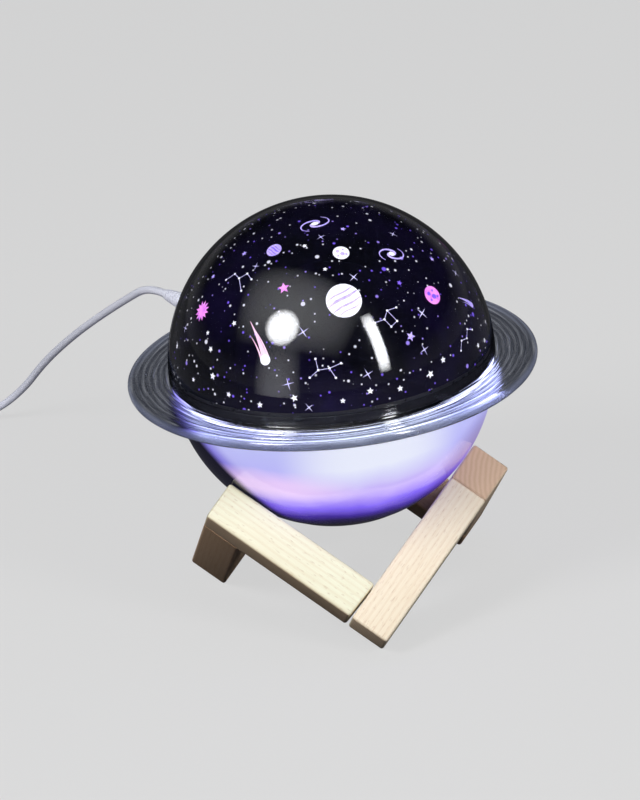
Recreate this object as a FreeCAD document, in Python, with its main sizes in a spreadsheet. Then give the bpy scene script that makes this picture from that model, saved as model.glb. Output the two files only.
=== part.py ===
import FreeCAD, Part
import math
import os
from types import SimpleNamespace
import Sketcher
from FreeCAD import Matrix, Placement, Rotation, Vector

# A night lamp in the shape of a ringed planet, which throws stars through a printed film dome.
# It sits on a zigzag cradle of six square wooden bars. The bars follow six edges of a cube that
# stands on a corner, so the cube's long diagonal is the upright axis of the lamp.
# Millimetres; Z is up, the origin is on the table under the middle of the lamp, -Y is the front.

doc = FreeCAD.newDocument("RingedStarLamp")
sheet = doc.addObject("Spreadsheet::Sheet", "Sizes")

SIZES = {
    # wooden cradle
    "bar_width": 20.0,
    "bar_length": 84.0,
    "bar_round": 1.4,
    "joint_gap": 0.3,
    "butt_angle": 3.0,
    "dowel_radius": 3.0,
    "dowel_length": 24.0,
    "dowel_chamfer": 0.6,
    "magnet_radius": 5.0,
    "magnet_thick": 3.0,
    "magnet_inset": 0.2,
    # lower half of the globe
    "bowl_radius": 77.5,
    "bowl_wall": 2.2,
    "seat_gap": 0.3,
    "rim_drop": 3.0,
    "ledge_width": 3.3,
    "ledge_thick": 3.0,
    "base_trim": 11.0,
    "boss_radius": 3.5,
    "boss_height": 9.0,
    "deck_screw_inset": 12.5,
    "collar_screw_inset": 3.0,
    "base_screw_inset": 3.3,
    "rib_width": 3.0,
    "cap_thick": 3.5,
    "pad_inner": 19.0,
    "pad_outer": 26.0,
    "pad_thick": 1.0,
    # ring of the planet
    "ring_reach": 21.0,
    "ring_seat": 1.9,
    "ring_thick": 5.0,
    "ring_edge": 2.0,
    "groove_start": 7.5,
    "groove_pitch": 2.2,
    "groove_width": 1.5,
    "groove_depth": 0.8,
    "ring_band": 4.2,
    "bead_start": 2.7,
    "bead_width": 1.4,
    "bead_height": 0.6,
    # upper half of the globe
    "dome_proud": 1.0,
    "dome_wall": 1.5,
    "dome_rise": 1.0,
    "film_space": 0.7,
    "film_wall": 0.8,
    "film_lift": 5.6,
    # chassis plate and what it carries
    "deck_inset": 0.5,
    "deck_thick": 2.0,
    "deck_hole": 5.0,
    "collar_width": 6.3,
    "collar_height": 3.4,
    "fit_gap": 0.3,
    "running_gap": 0.05,
    "post_radius": 11.0,
    "post_bore": 5.0,
    "post_flange": 6.5,
    "flange_thick": 2.0,
    "post_top": 14.0,
    "clip_groove": 0.9,
    "clip_width": 3.5,
    "clip_thick": 0.8,
    "clip_mouth": 12.0,
    "hub_wall": 3.45,
    "washer_thick": 0.5,
    "tray_thick": 1.9,
    "lip_width": 1.7,
    "lip_height": 2.0,
    # spur gears and the motor that turns them
    "gear_module": 0.8,
    "gear_teeth": 64.0,
    "pinion_teeth": 16.0,
    "gear_thick": 3.0,
    "backlash": 0.3,
    "motor_radius": 12.0,
    "motor_length": 15.0,
    "motor_plate": 1.0,
    "motor_ear": 18.0,
    "motor_nose": 4.0,
    "shaft_radius": 1.5,
    "shaft_depth": 7.0,
    # circuit boards and lights
    "board_thick": 1.6,
    "glow_board_gap": 1.5,
    "motor_gap": 2.0,
    "led_side": 5.0,
    "led_thick": 1.4,
    "star_board_radius": 10.0,
    "star_led_side": 3.5,
    "star_lens_radius": 5.0,
    "control_board_radius": 24.0,
    "standoff_inset": 4.0,
    "standoff_radius": 2.5,
    "board_height": 4.5,
    "pin_radius": 1.0,
    "switch_side": 6.0,
    "actuator_radius": 1.7,
    "actuator_height": 0.4,
    "chip_side": 7.0,
    "chip_thick": 1.2,
    # push buttons
    "button_radius": 4.0,
    "button_ring": 12.0,
    "button_lip": 1.3,
    "button_flange": 0.8,
    "button_recess": 0.4,
    "button_travel": 0.8,
    "press_gap": 0.1,
    # fasteners
    "screw_radius": 1.2,
    "head_radius": 2.4,
    "head_height": 1.4,
    "slot_width": 0.6,
    "slot_depth": 0.7,
    "screw_grip": 8.0,
    "short_grip": 3.4,
    # power inlet and its plug
    "inlet_drop": 2.2,
    "inlet_angle": 115.0,
    "inlet_width": 10.0,
    "inlet_height": 8.0,
    "inlet_length": 16.0,
    "inlet_inset": 0.5,
    "inlet_bore": 2.8,
    "inlet_depth": 10.0,
    "contact_pin": 0.65,
    "notch_width": 11.0,
    "plug_gap": 2.0,
    "plug_radius": 4.75,
    "plug_length": 40.0,
    "plug_bore": 1.1,
    "relief_length": 24.0,
    "relief_radius": 4.4,
    "relief_lip": 0.4,
    # lead
    "wire_radius": 1.1,
    "cord_radius": 2.25,
    "coil_radius": 25.0,
    "coil_turns_wide": 3.0,
    "coil_turns_high": 2.0,
    "usb_width": 12.0,
    "usb_height": 4.5,
    "usb_shell": 18.8,
    "usb_grip_width": 15.5,
    "usb_grip_height": 8.0,
    "usb_grip_length": 24.0,
    "usb_relief": 12.0,
}
for row, (name, number) in enumerate(SIZES.items(), start=1):
    sheet.set(f"A{row}", name)
    sheet.set(f"B{row}", str(number))
    sheet.setAlias(f"B{row}", name)
doc.recompute()


class Formula:
    """A length that carries both its spreadsheet formula and its present number."""

    def __init__(self, text, number):
        self.text = text
        self.number = number

    def __float__(self):
        return float(self.number)

    def _join(self, other, sign, result):
        return Formula(f"({self.text} {sign} {formula(other).text})", result)

    def __add__(self, other):
        return self._join(other, "+", self.number + float(other))

    def __sub__(self, other):
        return self._join(other, "-", self.number - float(other))

    def __mul__(self, other):
        return self._join(other, "*", self.number * float(other))

    def __truediv__(self, other):
        return self._join(other, "/", self.number / float(other))

    def __neg__(self):
        return Formula(f"(-1 * {self.text})", -self.number)


def formula(item):
    if isinstance(item, Formula):
        return item
    return Formula(repr(float(item)), float(item))


def root(item):
    return Formula(f"sqrt({item.text})", math.sqrt(item.number))


def arc_sine(item):
    """The angle in degrees whose sine is the formula."""
    return Formula(f"asin({item.text})", math.degrees(math.asin(item.number)))


def ring_width_at(radius, height):
    """How far a ball of that radius reaches from its axis at that height off its middle."""
    return root(radius * radius - height * height)


s = SimpleNamespace(**{name: Formula(f"Sizes.{name}", float(sheet.get(name))) for name in SIZES})


def bind(item, prop, value):
    """Ties a property to its formula."""
    item.setExpression(prop, formula(value).text)


# ---------------------------------------------------------------- heights in the lamp's own frame
# The lamp's frame has its origin in the middle of the bowl's ball.

bowl_inner = s.bowl_radius - s.bowl_wall
base_drop = s.bowl_radius - s.base_trim
dome_radius = s.bowl_radius + s.dome_proud
dome_inner = dome_radius - s.dome_wall
film_radius = dome_inner - s.film_space
film_inner = film_radius - s.film_wall
deck_radius = bowl_inner - s.fit_gap - s.deck_inset
ring_bore = deck_radius - s.ring_seat
ring_radius = s.bowl_radius + s.ring_reach
collar_outer = dome_inner - s.fit_gap
collar_foot_outer = ring_bore - s.fit_gap
collar_inner = collar_foot_outer - s.collar_width
hub_radius = s.post_radius + s.hub_wall + s.running_gap
flange_radius = s.post_radius + s.post_flange
inlet_front = s.bowl_radius - s.inlet_inset
inlet_back = inlet_front - s.inlet_length
ring_low = -s.rim_drop
ring_top = ring_low + s.ring_thick
dome_mid = ring_top + s.dome_rise
film_edge = ring_top + s.film_lift
deck_top = ring_low
deck_low = deck_top - s.deck_thick
ledge_low = deck_low - s.ledge_thick
collar_top = ring_top + s.collar_height
tray_low = film_edge - s.tray_thick
gear_low = tray_low - s.gear_thick
washer_low = deck_top + s.flange_thick
washer_top = washer_low + s.washer_thick
base_top = -base_drop
base_low = base_top - s.cap_thick
board_low = base_top + s.board_height
board_top = board_low + s.board_thick
gear_radius = s.gear_module * s.gear_teeth / 2
pinion_radius = s.gear_module * s.pinion_teeth / 2
motor_reach = gear_radius + pinion_radius
pilot_radius = s.screw_radius + s.running_gap

deck_screw_ring = deck_radius - s.deck_screw_inset
collar_screw_ring = collar_inner + s.collar_screw_inset
glow_outer = deck_screw_ring - s.boss_radius - s.glow_board_gap
glow_inner = motor_reach + s.motor_radius + s.motor_gap
post_screw_ring = (s.post_radius + flange_radius) / 2
base_screw_ring = ring_width_at(s.bowl_radius, base_drop + s.cap_thick) - s.base_screw_inset
standoff_ring = s.control_board_radius - s.standoff_inset
DECK_SCREW_ANGLES = (45, 135, 225, 315)
COLLAR_SCREW_ANGLES = (20, 80, 160, 200, 260, 340)
THIRDS = (30, 150, 270)
BUTTON_ANGLES = {"light_button": 90, "colour_button": 210, "spin_button": 330}
GLOW_LEDS = 12

# ---------------------------------------------------------------- places in the room

WIDTH = float(s.bar_width)
LENGTH = float(s.bar_length)
SPAN = LENGTH + WIDTH
CORNER_SINK = (math.sqrt(3) - 1) * float(s.bar_round)
CUBE_DROP = LENGTH / math.sqrt(3) + CORNER_SINK
AZIMUTHS = (-90.0, 150.0, 30.0)
UP = Vector(0, 0, 1)


def cube_axis(index):
    """One edge direction of the cube that stands on its corner."""
    turn = math.radians(AZIMUTHS[index % 3])
    flat = math.sqrt(2.0 / 3.0)
    return Vector(flat * math.cos(turn), flat * math.sin(turn), math.sqrt(1.0 / 3.0))


def cube_point(index, out, along, across):
    """The point at `out` on cube axis index, `along` on the next one, `across` on the last."""
    point = cube_axis(index) * out + cube_axis(index + 1) * along + cube_axis(index + 2) * across
    return point - UP * CUBE_DROP


def frame_of(origin, x_way, y_way, z_way):
    """The placement whose own axes lie along three given directions."""
    return Placement(Matrix(x_way.x, y_way.x, z_way.x, origin.x,
                            x_way.y, y_way.y, z_way.y, origin.y,
                            x_way.z, y_way.z, z_way.z, origin.z,
                            0, 0, 0, 1))


CENTRE = UP * (math.sqrt(3) * float(s.bowl_radius + s.seat_gap + s.bar_width) - CUBE_DROP)
LAMP = Placement(CENTRE, Rotation())
INLET_TURN = Rotation(UP, float(s.inlet_angle))
INLET = Placement(CENTRE - UP * float(s.inlet_drop), INLET_TURN)

final_pieces = []


def keep(item, label, placement=None):
    """Names a finished sub-part and puts it in its place."""
    item.Label = label
    if placement is not None:
        item.Placement = placement
    final_pieces.append(item)
    return item


# ---------------------------------------------------------------- PartDesign helpers

def origin_item(body, role):
    return next(item for item in body.Origin.OriginFeatures if item.Role == role)


def new_body(name):
    return doc.addObject("PartDesign::Body", name)


def sketch_on(body, role, offset=None):
    """An empty sketch on one of the body's own origin planes, raised by a formula."""
    sketch = body.newObject("Sketcher::SketchObject", "Sketch")
    sketch.AttachmentSupport = [(origin_item(body, role), "")]
    sketch.MapMode = "FlatFace"
    if offset is not None:
        bind(sketch, ".AttachmentOffset.Base.z", offset)
    return sketch


def fix(sketch, kind, geo, point, value):
    """A signed distance from the sketch's origin to a point, held by a formula."""
    index = sketch.addConstraint(Sketcher.Constraint(kind, geo, point, float(value)))
    bind(sketch, f"Constraints[{index}]", value)


def circle(sketch, radius, x=0, y=0):
    """A circle whose radius and centre are held by formulas."""
    start = Part.Circle(Vector(float(x), float(y), 0), UP, float(radius))
    geo = sketch.addGeometry(start, False)
    index = sketch.addConstraint(Sketcher.Constraint("Radius", geo, float(radius)))
    bind(sketch, f"Constraints[{index}]", radius)
    fix(sketch, "DistanceX", geo, 3, formula(x))
    fix(sketch, "DistanceY", geo, 3, formula(y))


def outline(sketch, corners):
    """A closed outline of straight lines whose corners are pairs of formulas."""
    spots = [Vector(float(x), float(y), 0) for x, y in corners]
    count = len(spots)
    first = sketch.GeometryCount
    for i in range(count):
        sketch.addGeometry(Part.LineSegment(spots[i], spots[(i + 1) % count]), False)
    for i in range(count):
        after = first + (i + 1) % count
        sketch.addConstraint(Sketcher.Constraint("Coincident", first + i, 2, after, 1))
    for i, (x, y) in enumerate(corners):
        fix(sketch, "DistanceX", first + i, 1, x)
        fix(sketch, "DistanceY", first + i, 1, y)


def pad(body, sketch, length):
    feature = body.newObject("PartDesign::Pad", "Pad")
    feature.Profile = sketch
    bind(feature, "Length", length)
    body.Tip = feature
    return feature


def pocket(body, sketch, length, reverse=False):
    """A cut, compared with the solid before it so that it surely removes something."""
    doc.recompute()
    before = body.Shape.Volume
    feature = body.newObject("PartDesign::Pocket", "Pocket")
    feature.Profile = sketch
    bind(feature, "Length", length)
    feature.Reversed = reverse
    body.Tip = feature
    doc.recompute()
    if body.Shape.Volume > before - 1e-6:
        raise RuntimeError(f"{body.Name}: a pocket cuts nothing")
    return feature


def polar(body, feature, count):
    pattern = body.newObject("PartDesign::PolarPattern", "PolarPattern")
    pattern.Originals = [feature]
    pattern.Axis = (origin_item(body, "Z_Axis"), [""])
    pattern.Angle = 360
    pattern.Occurrences = count
    body.Tip = pattern
    return pattern


def revolved(name, corners):
    """A turned piece: its corners are pairs of formulas, distance from the axis and height."""
    body = new_body(name)
    sketch = sketch_on(body, "XZ_Plane")
    outline(sketch, corners)
    turn = body.newObject("PartDesign::Revolution", "Revolution")
    turn.Profile = sketch
    turn.ReferenceAxis = (sketch, ["V_Axis"])
    turn.Angle = 360
    body.Tip = turn
    return body


def soften(body, radius, wanted):
    """Rounds the edges that pass the test."""
    doc.recompute()
    names = [f"Edge{i}" for i, edge in enumerate(body.Shape.Edges, start=1) if wanted(edge)]
    last = body.Tip
    fillet = body.newObject("PartDesign::Fillet", "Fillet")
    fillet.Base = (last, names)
    bind(fillet, "Radius", radius)
    body.Tip = fillet


# ---------------------------------------------------------------- Part helpers

def spot(item, x, y, z):
    bind(item, ".Placement.Base.x", x)
    bind(item, ".Placement.Base.y", y)
    bind(item, ".Placement.Base.z", z)
    return item


def cylinder(name, radius, height, z, x=0, y=0):
    item = doc.addObject("Part::Cylinder", name)
    bind(item, "Radius", radius)
    bind(item, "Height", height)
    return spot(item, x, y, z)


def tube(name, outer, inner, height, z):
    """A round washer of any height."""
    skin = cylinder(f"{name}_outer", outer, height, z)
    core = cylinder(f"{name}_inner", inner, height, z)
    return cut(name, skin, core)


def box(name, sizes, corner, turn=None):
    """A block with its low corner given; `turn` swings it about the lamp's axis."""
    item = doc.addObject("Part::Box", name)
    for prop, value in zip(("Length", "Width", "Height"), sizes):
        bind(item, prop, value)
    if turn is None:
        return spot(item, *corner)
    place = Vector(*[float(value) for value in corner])
    item.Placement = Placement(turn.multVec(place), turn)
    return item


def ball_slice(name, radius, middle=0, low=-90, high=90):
    """A ball, or the slice of it between two latitudes in degrees."""
    item = doc.addObject("Part::Sphere", name)
    bind(item, "Radius", radius)
    bind(item, "Angle1", low)
    bind(item, "Angle2", high)
    return spot(item, 0, 0, middle)


def cut(name, base, tool):
    item = doc.addObject("Part::Cut", name)
    item.Base = base
    item.Tool = tool
    return item


def fuse(name, items):
    item = doc.addObject("Part::MultiFuse", name)
    item.Shapes = items
    return item


def common(name, items):
    item = doc.addObject("Part::MultiCommon", name)
    item.Shapes = items
    return item


def around(ring, angle):
    """X and Y of a point on a circle about the axis, as formulas."""
    turn = math.radians(angle)
    return formula(ring) * math.cos(turn), formula(ring) * math.sin(turn)


def feature(label, shape, placement=LAMP):
    """A piece shaped with Part's own functions from the sheet's sizes."""
    item = doc.addObject("Part::Feature", label)
    item.Shape = shape
    return keep(item, label, placement)


def screw(grip):
    """A slotted pan-head screw: the head stands on the origin, the shank points down."""
    slot_width = float(s.slot_width)
    reach = float(s.head_radius)
    tall = float(s.head_height)
    shank = Part.makeCylinder(float(s.screw_radius), grip, Vector(0, 0, -grip))
    body = Part.makeCylinder(reach, tall).fuse(shank).removeSplitter()
    corner = Vector(-reach, -slot_width / 2, tall - float(s.slot_depth))
    return body.cut(Part.makeBox(2 * reach, slot_width, float(s.slot_depth), corner))


def screw_set(label, grip, places, upside_down=False):
    """Identical screws as separate solids of one node; places are (x, y, z) of the head's seat."""
    pieces = []
    for x, y, z in places:
        piece = screw(grip)
        if upside_down:
            piece.rotate(Vector(), Vector(1, 0, 0), 180)
        piece.translate(Vector(x, y, z))
        pieces.append(piece)
    return feature(label, Part.makeCompound(pieces))


def screw_places(ring, angles, height):
    places = []
    for angle in angles:
        x, y = around(ring, angle)
        places.append((float(x), float(y), float(height)))
    return places


# ---------------------------------------------------------------- wooden cradle
# Each half of the zigzag is one rail, which carries the lamp, glued to the next leg.
# A rail's butt end meets the side of the leg before it, where two magnets hold them together.

def magnet_hole(body, plane, x, y, offset):
    """A blind hole for a disc magnet, drilled from a face of the bar."""
    sketch = sketch_on(body, plane, offset)
    circle(sketch, s.magnet_radius + s.running_gap, x, y)
    return sketch


def bar_block(name, start):
    """A square bar along X, from `start` to the bar's full length."""
    body = new_body(name)
    sketch = sketch_on(body, "YZ_Plane", start)
    zero = formula(0)
    outline(sketch, [(zero, zero), (s.bar_width, zero),
                     (s.bar_width, s.bar_width), (zero, s.bar_width)])
    pad(body, sketch, s.bar_length - start)
    return body


def sawn_butt(body):
    """Trims the butt end a little off square, so that the joint closes on its upper edge only."""
    lean = s.bar_width * math.tan(math.radians(float(s.butt_angle)))
    sketch = sketch_on(body, "XZ_Plane")
    outline(sketch, [(s.joint_gap, s.bar_width), (s.joint_gap, formula(0)),
                     (s.joint_gap + lean, formula(0))])
    pocket(body, sketch, s.bar_width)


def rail(label, index):
    body = bar_block(label, s.joint_gap)
    sawn_butt(body)
    soften(body, s.bar_round, lambda edge: True)
    middle = s.bar_width / 2
    magnet = magnet_hole(body, "YZ_Plane", middle, middle, rail_magnet_x() + s.magnet_thick)
    pocket(body, magnet, s.magnet_thick * 2)
    peg = sketch_on(body, "XZ_Plane")
    circle(peg, s.dowel_radius + s.running_gap, s.bar_length - middle, middle)
    pocket(body, peg, s.dowel_length / 2)
    place = frame_of(cube_point(index, LENGTH, WIDTH, 0),
                     cube_axis(index + 1), cube_axis(index), cube_axis(index + 2))
    return keep(body, label, place)


def rail_magnet_x():
    """Where the rail's magnet starts: flush at the lowest point of the sawn face."""
    slope = math.tan(math.radians(float(s.butt_angle)))
    return s.joint_gap + (s.bar_width / 2 + s.magnet_radius) * slope + s.magnet_inset


def leg(label, index):
    """A leg stands on its low corner at the origin end and is glued to a rail at the other end."""
    body = bar_block(label, formula(0))
    glued = float(s.bar_length) - 1e-3
    soften(body, s.bar_round, lambda edge: edge.BoundBox.XMax < glued or edge.Length > LENGTH / 2)
    middle = s.bar_width / 2
    magnet = magnet_hole(body, "XZ_Plane", middle, middle, -s.bar_width)
    pocket(body, magnet, s.magnet_thick + s.magnet_inset, reverse=True)
    peg = sketch_on(body, "YZ_Plane", s.bar_length)
    circle(peg, s.dowel_radius + s.running_gap, middle, middle)
    pocket(body, peg, s.dowel_length / 2)
    place = frame_of(cube_point(index, LENGTH, 0, 0),
                     cube_axis(index + 2), cube_axis(index + 1), cube_axis(index))
    return keep(body, label, place)


def dowel(label, index):
    """The wooden peg across the glued joint of rail and leg."""
    zero = formula(0)
    slim = s.dowel_radius - s.dowel_chamfer
    top = s.dowel_length
    item = revolved(label, [(zero, zero), (slim, zero), (s.dowel_radius, s.dowel_chamfer),
                            (s.dowel_radius, top - s.dowel_chamfer), (slim, top), (zero, top)])
    half = float(s.dowel_length) / 2
    middle = cube_point(index, LENGTH, SPAN - WIDTH / 2, WIDTH / 2)
    start = middle - cube_axis(index) * half
    place = frame_of(start, cube_axis(index + 1), cube_axis(index + 2) * -1, cube_axis(index))
    return keep(item, label, place)


def magnets(label, index):
    """Two disc magnets of one glued pair: one in the rail's butt, one in the leg's side."""
    radius = float(s.magnet_radius)
    thick = float(s.magnet_thick)
    butt = cube_point(index, SPAN - WIDTH / 2, WIDTH + float(rail_magnet_x()), WIDTH / 2)
    side_depth = WIDTH - thick - float(s.magnet_inset)
    side = cube_point(index + 1, SPAN - WIDTH / 2, side_depth, WIDTH / 2)
    discs = [Part.makeCylinder(radius, thick, butt, cube_axis(index + 1)),
             Part.makeCylinder(radius, thick, side, cube_axis(index + 2))]
    return feature(label, Part.makeCompound(discs), Placement())


for number, side in enumerate(("left", "back", "right")):
    rail(f"{side}_rail", number)
    leg(f"{side}_leg", (number + 1) % 3)
    dowel(f"{side}_dowel", number)
    magnets(f"{side}_magnets", number)


# ---------------------------------------------------------------- bowl and base

def inlet_block(name, width, height, start, end):
    """A block on the inlet's axis, from one distance to another, as wide and high as given."""
    corner = (formula(start), -formula(width) / 2, -s.inlet_drop - formula(height) / 2)
    return box(name, (formula(end) - start, width, height), corner, INLET_TURN)


def bowl_shell():
    outer = ball_slice("bowl_ball", s.bowl_radius, 0,
                       -arc_sine(base_drop / s.bowl_radius),
                       -arc_sine(s.rim_drop / s.bowl_radius))
    hollow = ball_slice("bowl_hollow", bowl_inner, 0, -90, arc_sine(ledge_low / bowl_inner))
    recess_radius = deck_radius + s.fit_gap
    throat = cylinder("bowl_throat", recess_radius - s.ledge_width, s.ledge_thick * 2, ledge_low)
    recess = cylinder("bowl_recess", recess_radius, s.deck_thick * 2, deck_low)
    shell = cut("bowl_wall", outer, fuse("bowl_cavity", [hollow, throat, recess]))
    posts = []
    holes = []
    reach = ball_slice("boss_limit", bowl_inner + s.bowl_wall / 4)
    for angle in DECK_SCREW_ANGLES:
        x, y = around(deck_screw_ring, angle)
        posts.append(cylinder("deck_boss", s.boss_radius, base_drop + deck_low, base_top, x, y))
        holes.append(cylinder("deck_pilot", pilot_radius, s.screw_grip,
                              deck_low - s.screw_grip, x, y))
    for angle in THIRDS:
        x, y = around(base_screw_ring, angle)
        posts.append(cylinder("base_boss", s.boss_radius, s.boss_height, base_top, x, y))
        rib_corner = (base_screw_ring, -s.rib_width / 2, base_top)
        posts.append(box("base_rib", (s.boss_radius * 3, s.rib_width, s.boss_height),
                         rib_corner, Rotation(UP, angle)))
        holes.append(cylinder("base_pilot", pilot_radius, s.screw_grip, base_top, x, y))
    inner_posts = common("bowl_bosses", [fuse("boss_set", posts), reach])
    solid = fuse("bowl_solid", [shell, inner_posts])
    holes.append(inlet_block("bowl_inlet_slot", s.inlet_width + s.running_gap * 2,
                             s.inlet_height + s.running_gap * 2,
                             inlet_back, s.bowl_radius + s.fit_gap))
    return keep(cut("bowl_shell", solid, fuse("bowl_holes", holes)), "bowl_shell", LAMP)


def base_cap():
    edge = ring_width_at(s.bowl_radius, base_drop)
    flat = ring_width_at(s.bowl_radius, base_drop + s.cap_thick)
    zero = formula(0)
    body = revolved("base_cap", [(zero, base_low), (flat, base_low),
                                 (edge, base_top), (zero, base_top)])
    sketch = sketch_on(body, "XY_Plane", base_top)
    x, y = around(standoff_ring, THIRDS[0])
    circle(sketch, s.standoff_radius, x, y)
    polar(body, pad(body, sketch, s.board_height), 3)
    sketch = sketch_on(body, "XY_Plane", board_low)
    circle(sketch, s.pin_radius, x, y)
    polar(body, pad(body, sketch, s.board_thick + s.fit_gap), 3)
    sketch = sketch_on(body, "XY_Plane", base_top)
    x, y = around(s.button_ring, BUTTON_ANGLES["light_button"])
    circle(sketch, s.button_radius + s.fit_gap, x, y)
    polar(body, pocket(body, sketch, s.cap_thick), 3)
    x, y = around(base_screw_ring, THIRDS[0])
    sketch = sketch_on(body, "XY_Plane", base_top)
    circle(sketch, s.screw_radius + s.fit_gap, x, y)
    polar(body, pocket(body, sketch, s.cap_thick), 3)
    sketch = sketch_on(body, "XY_Plane", base_low)
    circle(sketch, s.head_radius + s.fit_gap, x, y)
    polar(body, pocket(body, sketch, s.head_height + s.fit_gap, reverse=True), 3)
    return keep(body, "base_cap", LAMP)


def base_fittings():
    seat = base_low + s.head_height + s.fit_gap
    screw_set("base_screws", float(s.screw_grip), screw_places(base_screw_ring, THIRDS, seat), True)
    keep(tube("foot_pad", s.pad_outer, s.pad_inner, s.pad_thick, base_low - s.pad_thick),
         "foot_pad", LAMP)


def control_board():
    disc = cylinder("control_disc", s.control_board_radius, s.board_thick, board_low)
    holes = []
    for angle in THIRDS:
        x, y = around(standoff_ring, angle)
        holes.append(cylinder("control_hole", s.pin_radius + s.running_gap, s.board_thick,
                              board_low, x, y))
    keep(cut("control_board", disc, fuse("control_holes", holes)), "control_board", LAMP)
    side = float(s.chip_side)
    corner = Vector(-side, -side / 2, float(board_top))
    feature("control_chip", Part.makeBox(side, side, float(s.chip_thick), corner))


def button_top():
    return base_top + s.press_gap + s.button_flange


def buttons():
    """Three push buttons in the base; each rises against its own switch."""
    face = base_low + s.button_recess
    shoulder = base_top + s.press_gap
    lip = s.button_radius + s.button_lip
    chamfer = s.button_recess
    zero = formula(0)
    for label, angle in BUTTON_ANGLES.items():
        body = revolved(label, [(zero, face), (s.button_radius - chamfer, face),
                                (s.button_radius, face + chamfer), (s.button_radius, shoulder),
                                (lip, shoulder), (lip, button_top()), (zero, button_top())])
        x, y = around(s.button_ring, angle)
        keep(body, label, Placement(CENTRE + Vector(float(x), float(y), 0), Rotation()))


def tact_switches():
    """One small switch under the board above each button."""
    side = float(s.switch_side)
    stem_low = float(button_top() + s.button_travel + s.press_gap)
    body_low = stem_low + float(s.actuator_height)
    pieces = []
    for angle in BUTTON_ANGLES.values():
        x, y = [float(value) for value in around(s.button_ring, angle)]
        body = Part.makeBox(side, side, float(board_low) - body_low,
                            Vector(x - side / 2, y - side / 2, body_low))
        stem = Part.makeCylinder(float(s.actuator_radius), float(s.actuator_height),
                                 Vector(x, y, stem_low))
        pieces.append(body.fuse(stem))
    feature("tact_switches", Part.makeCompound(pieces))


bowl_shell()
base_cap()
base_fittings()
control_board()
buttons()
tact_switches()


# ---------------------------------------------------------------- chassis plate and lights

def chassis_deck():
    disc = cylinder("deck_disc", deck_radius, s.deck_thick, deck_low)
    tools = [cylinder("deck_cable_hole", s.deck_hole, s.deck_thick, deck_low),
             cylinder("deck_motor_hole", s.motor_nose + s.fit_gap, s.deck_thick, deck_low,
                      motor_reach)]
    loose = s.screw_radius + s.fit_gap / 2
    for ring, angles in ((deck_screw_ring, DECK_SCREW_ANGLES),
                         (collar_screw_ring, COLLAR_SCREW_ANGLES), (post_screw_ring, THIRDS)):
        for angle in angles:
            x, y = around(ring, angle)
            tools.append(cylinder("deck_hole", loose, s.deck_thick, deck_low, x, y))
    for way in (-1, 1):
        tools.append(cylinder("deck_ear_hole", loose, s.deck_thick, deck_low,
                              motor_reach, s.motor_ear * way))
    tools.append(inlet_block("deck_inlet_slot", s.notch_width, s.inlet_height,
                             inlet_back - s.fit_gap, s.bowl_radius))
    keep(cut("chassis_deck", disc, fuse("deck_holes", tools)), "chassis_deck", LAMP)
    screw_set("deck_screws", float(s.screw_grip),
              screw_places(deck_screw_ring, DECK_SCREW_ANGLES, deck_top))


def glow_lights():
    """A ring of downward lights under the deck, which light the bowl from inside."""
    keep(tube("glow_board", glow_outer, glow_inner, s.board_thick,
              deck_low - s.board_thick), "glow_board", LAMP)
    side = float(s.led_side)
    tall = float(s.led_thick)
    ring = float(glow_outer + glow_inner) / 2
    low = float(deck_low - s.board_thick) - tall
    leds = []
    for number in range(GLOW_LEDS):
        led = Part.makeBox(side, side, tall, Vector(ring - side / 2, -side / 2, low))
        led.rotate(Vector(), UP, number * 360 / GLOW_LEDS)
        leds.append(led)
    feature("glow_leds", Part.makeCompound(leds))


def led_post():
    """The hollow pillar that carries the star light and is the turntable's axle."""
    shaft = s.post_radius
    groove_low = film_edge + s.fit_gap
    groove_top = groove_low + s.clip_thick
    neck = shaft - s.clip_groove
    body = revolved("led_post_turned", [
        (s.post_bore, deck_top), (flange_radius, deck_top), (flange_radius, washer_low),
        (shaft, washer_low), (shaft, groove_low), (neck, groove_low), (neck, groove_top),
        (shaft, groove_top), (shaft, s.post_top), (s.post_bore, s.post_top)])
    pilots = []
    for angle in THIRDS:
        x, y = around(post_screw_ring, angle)
        pilots.append(cylinder("post_pilot", pilot_radius, s.flange_thick - s.fit_gap,
                               deck_top, x, y))
    keep(cut("led_post", body, fuse("post_pilots", pilots)), "led_post", LAMP)
    screw_set("post_screws", float(s.short_grip),
              screw_places(post_screw_ring, THIRDS, deck_low), True)
    keep(tube("bearing_washer", flange_radius - s.fit_gap, shaft + s.running_gap,
              s.washer_thick, washer_low), "bearing_washer", LAMP)
    clip = tube("clip_ring", neck + s.clip_width, neck + s.running_gap,
                s.clip_thick - s.running_gap, groove_low)
    mouth = box("clip_mouth", (s.post_radius * 2, s.clip_mouth, s.clip_thick * 2),
                (formula(0), -s.clip_mouth / 2, groove_low))
    keep(cut("hub_clip", clip, mouth), "hub_clip", LAMP)


def star_light():
    """The bright chip under its own lens at the top of the post."""
    zero = formula(0)
    top = s.post_top + s.board_thick
    keep(revolved("star_board", [(zero, s.post_top), (s.star_board_radius, s.post_top),
                                 (s.star_board_radius, top), (zero, top)]), "star_board", LAMP)
    seat = float(s.post_top + s.board_thick)
    side = float(s.star_led_side)
    chip_tall = float(s.led_thick)
    feature("star_led", Part.makeBox(side, side, chip_tall, Vector(-side / 2, -side / 2, seat)))
    lens = Part.makeSphere(float(s.star_lens_radius), Vector(0, 0, seat), UP, 0, 90, 360)
    room = side + 2 * float(s.running_gap)
    pocket_box = Part.makeBox(room, room, chip_tall + float(s.running_gap),
                              Vector(-room / 2, -room / 2, seat))
    feature("star_lens", lens.cut(pocket_box))


chassis_deck()
glow_lights()
led_post()
star_light()


# ---------------------------------------------------------------- ring, collar and the two domes

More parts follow.
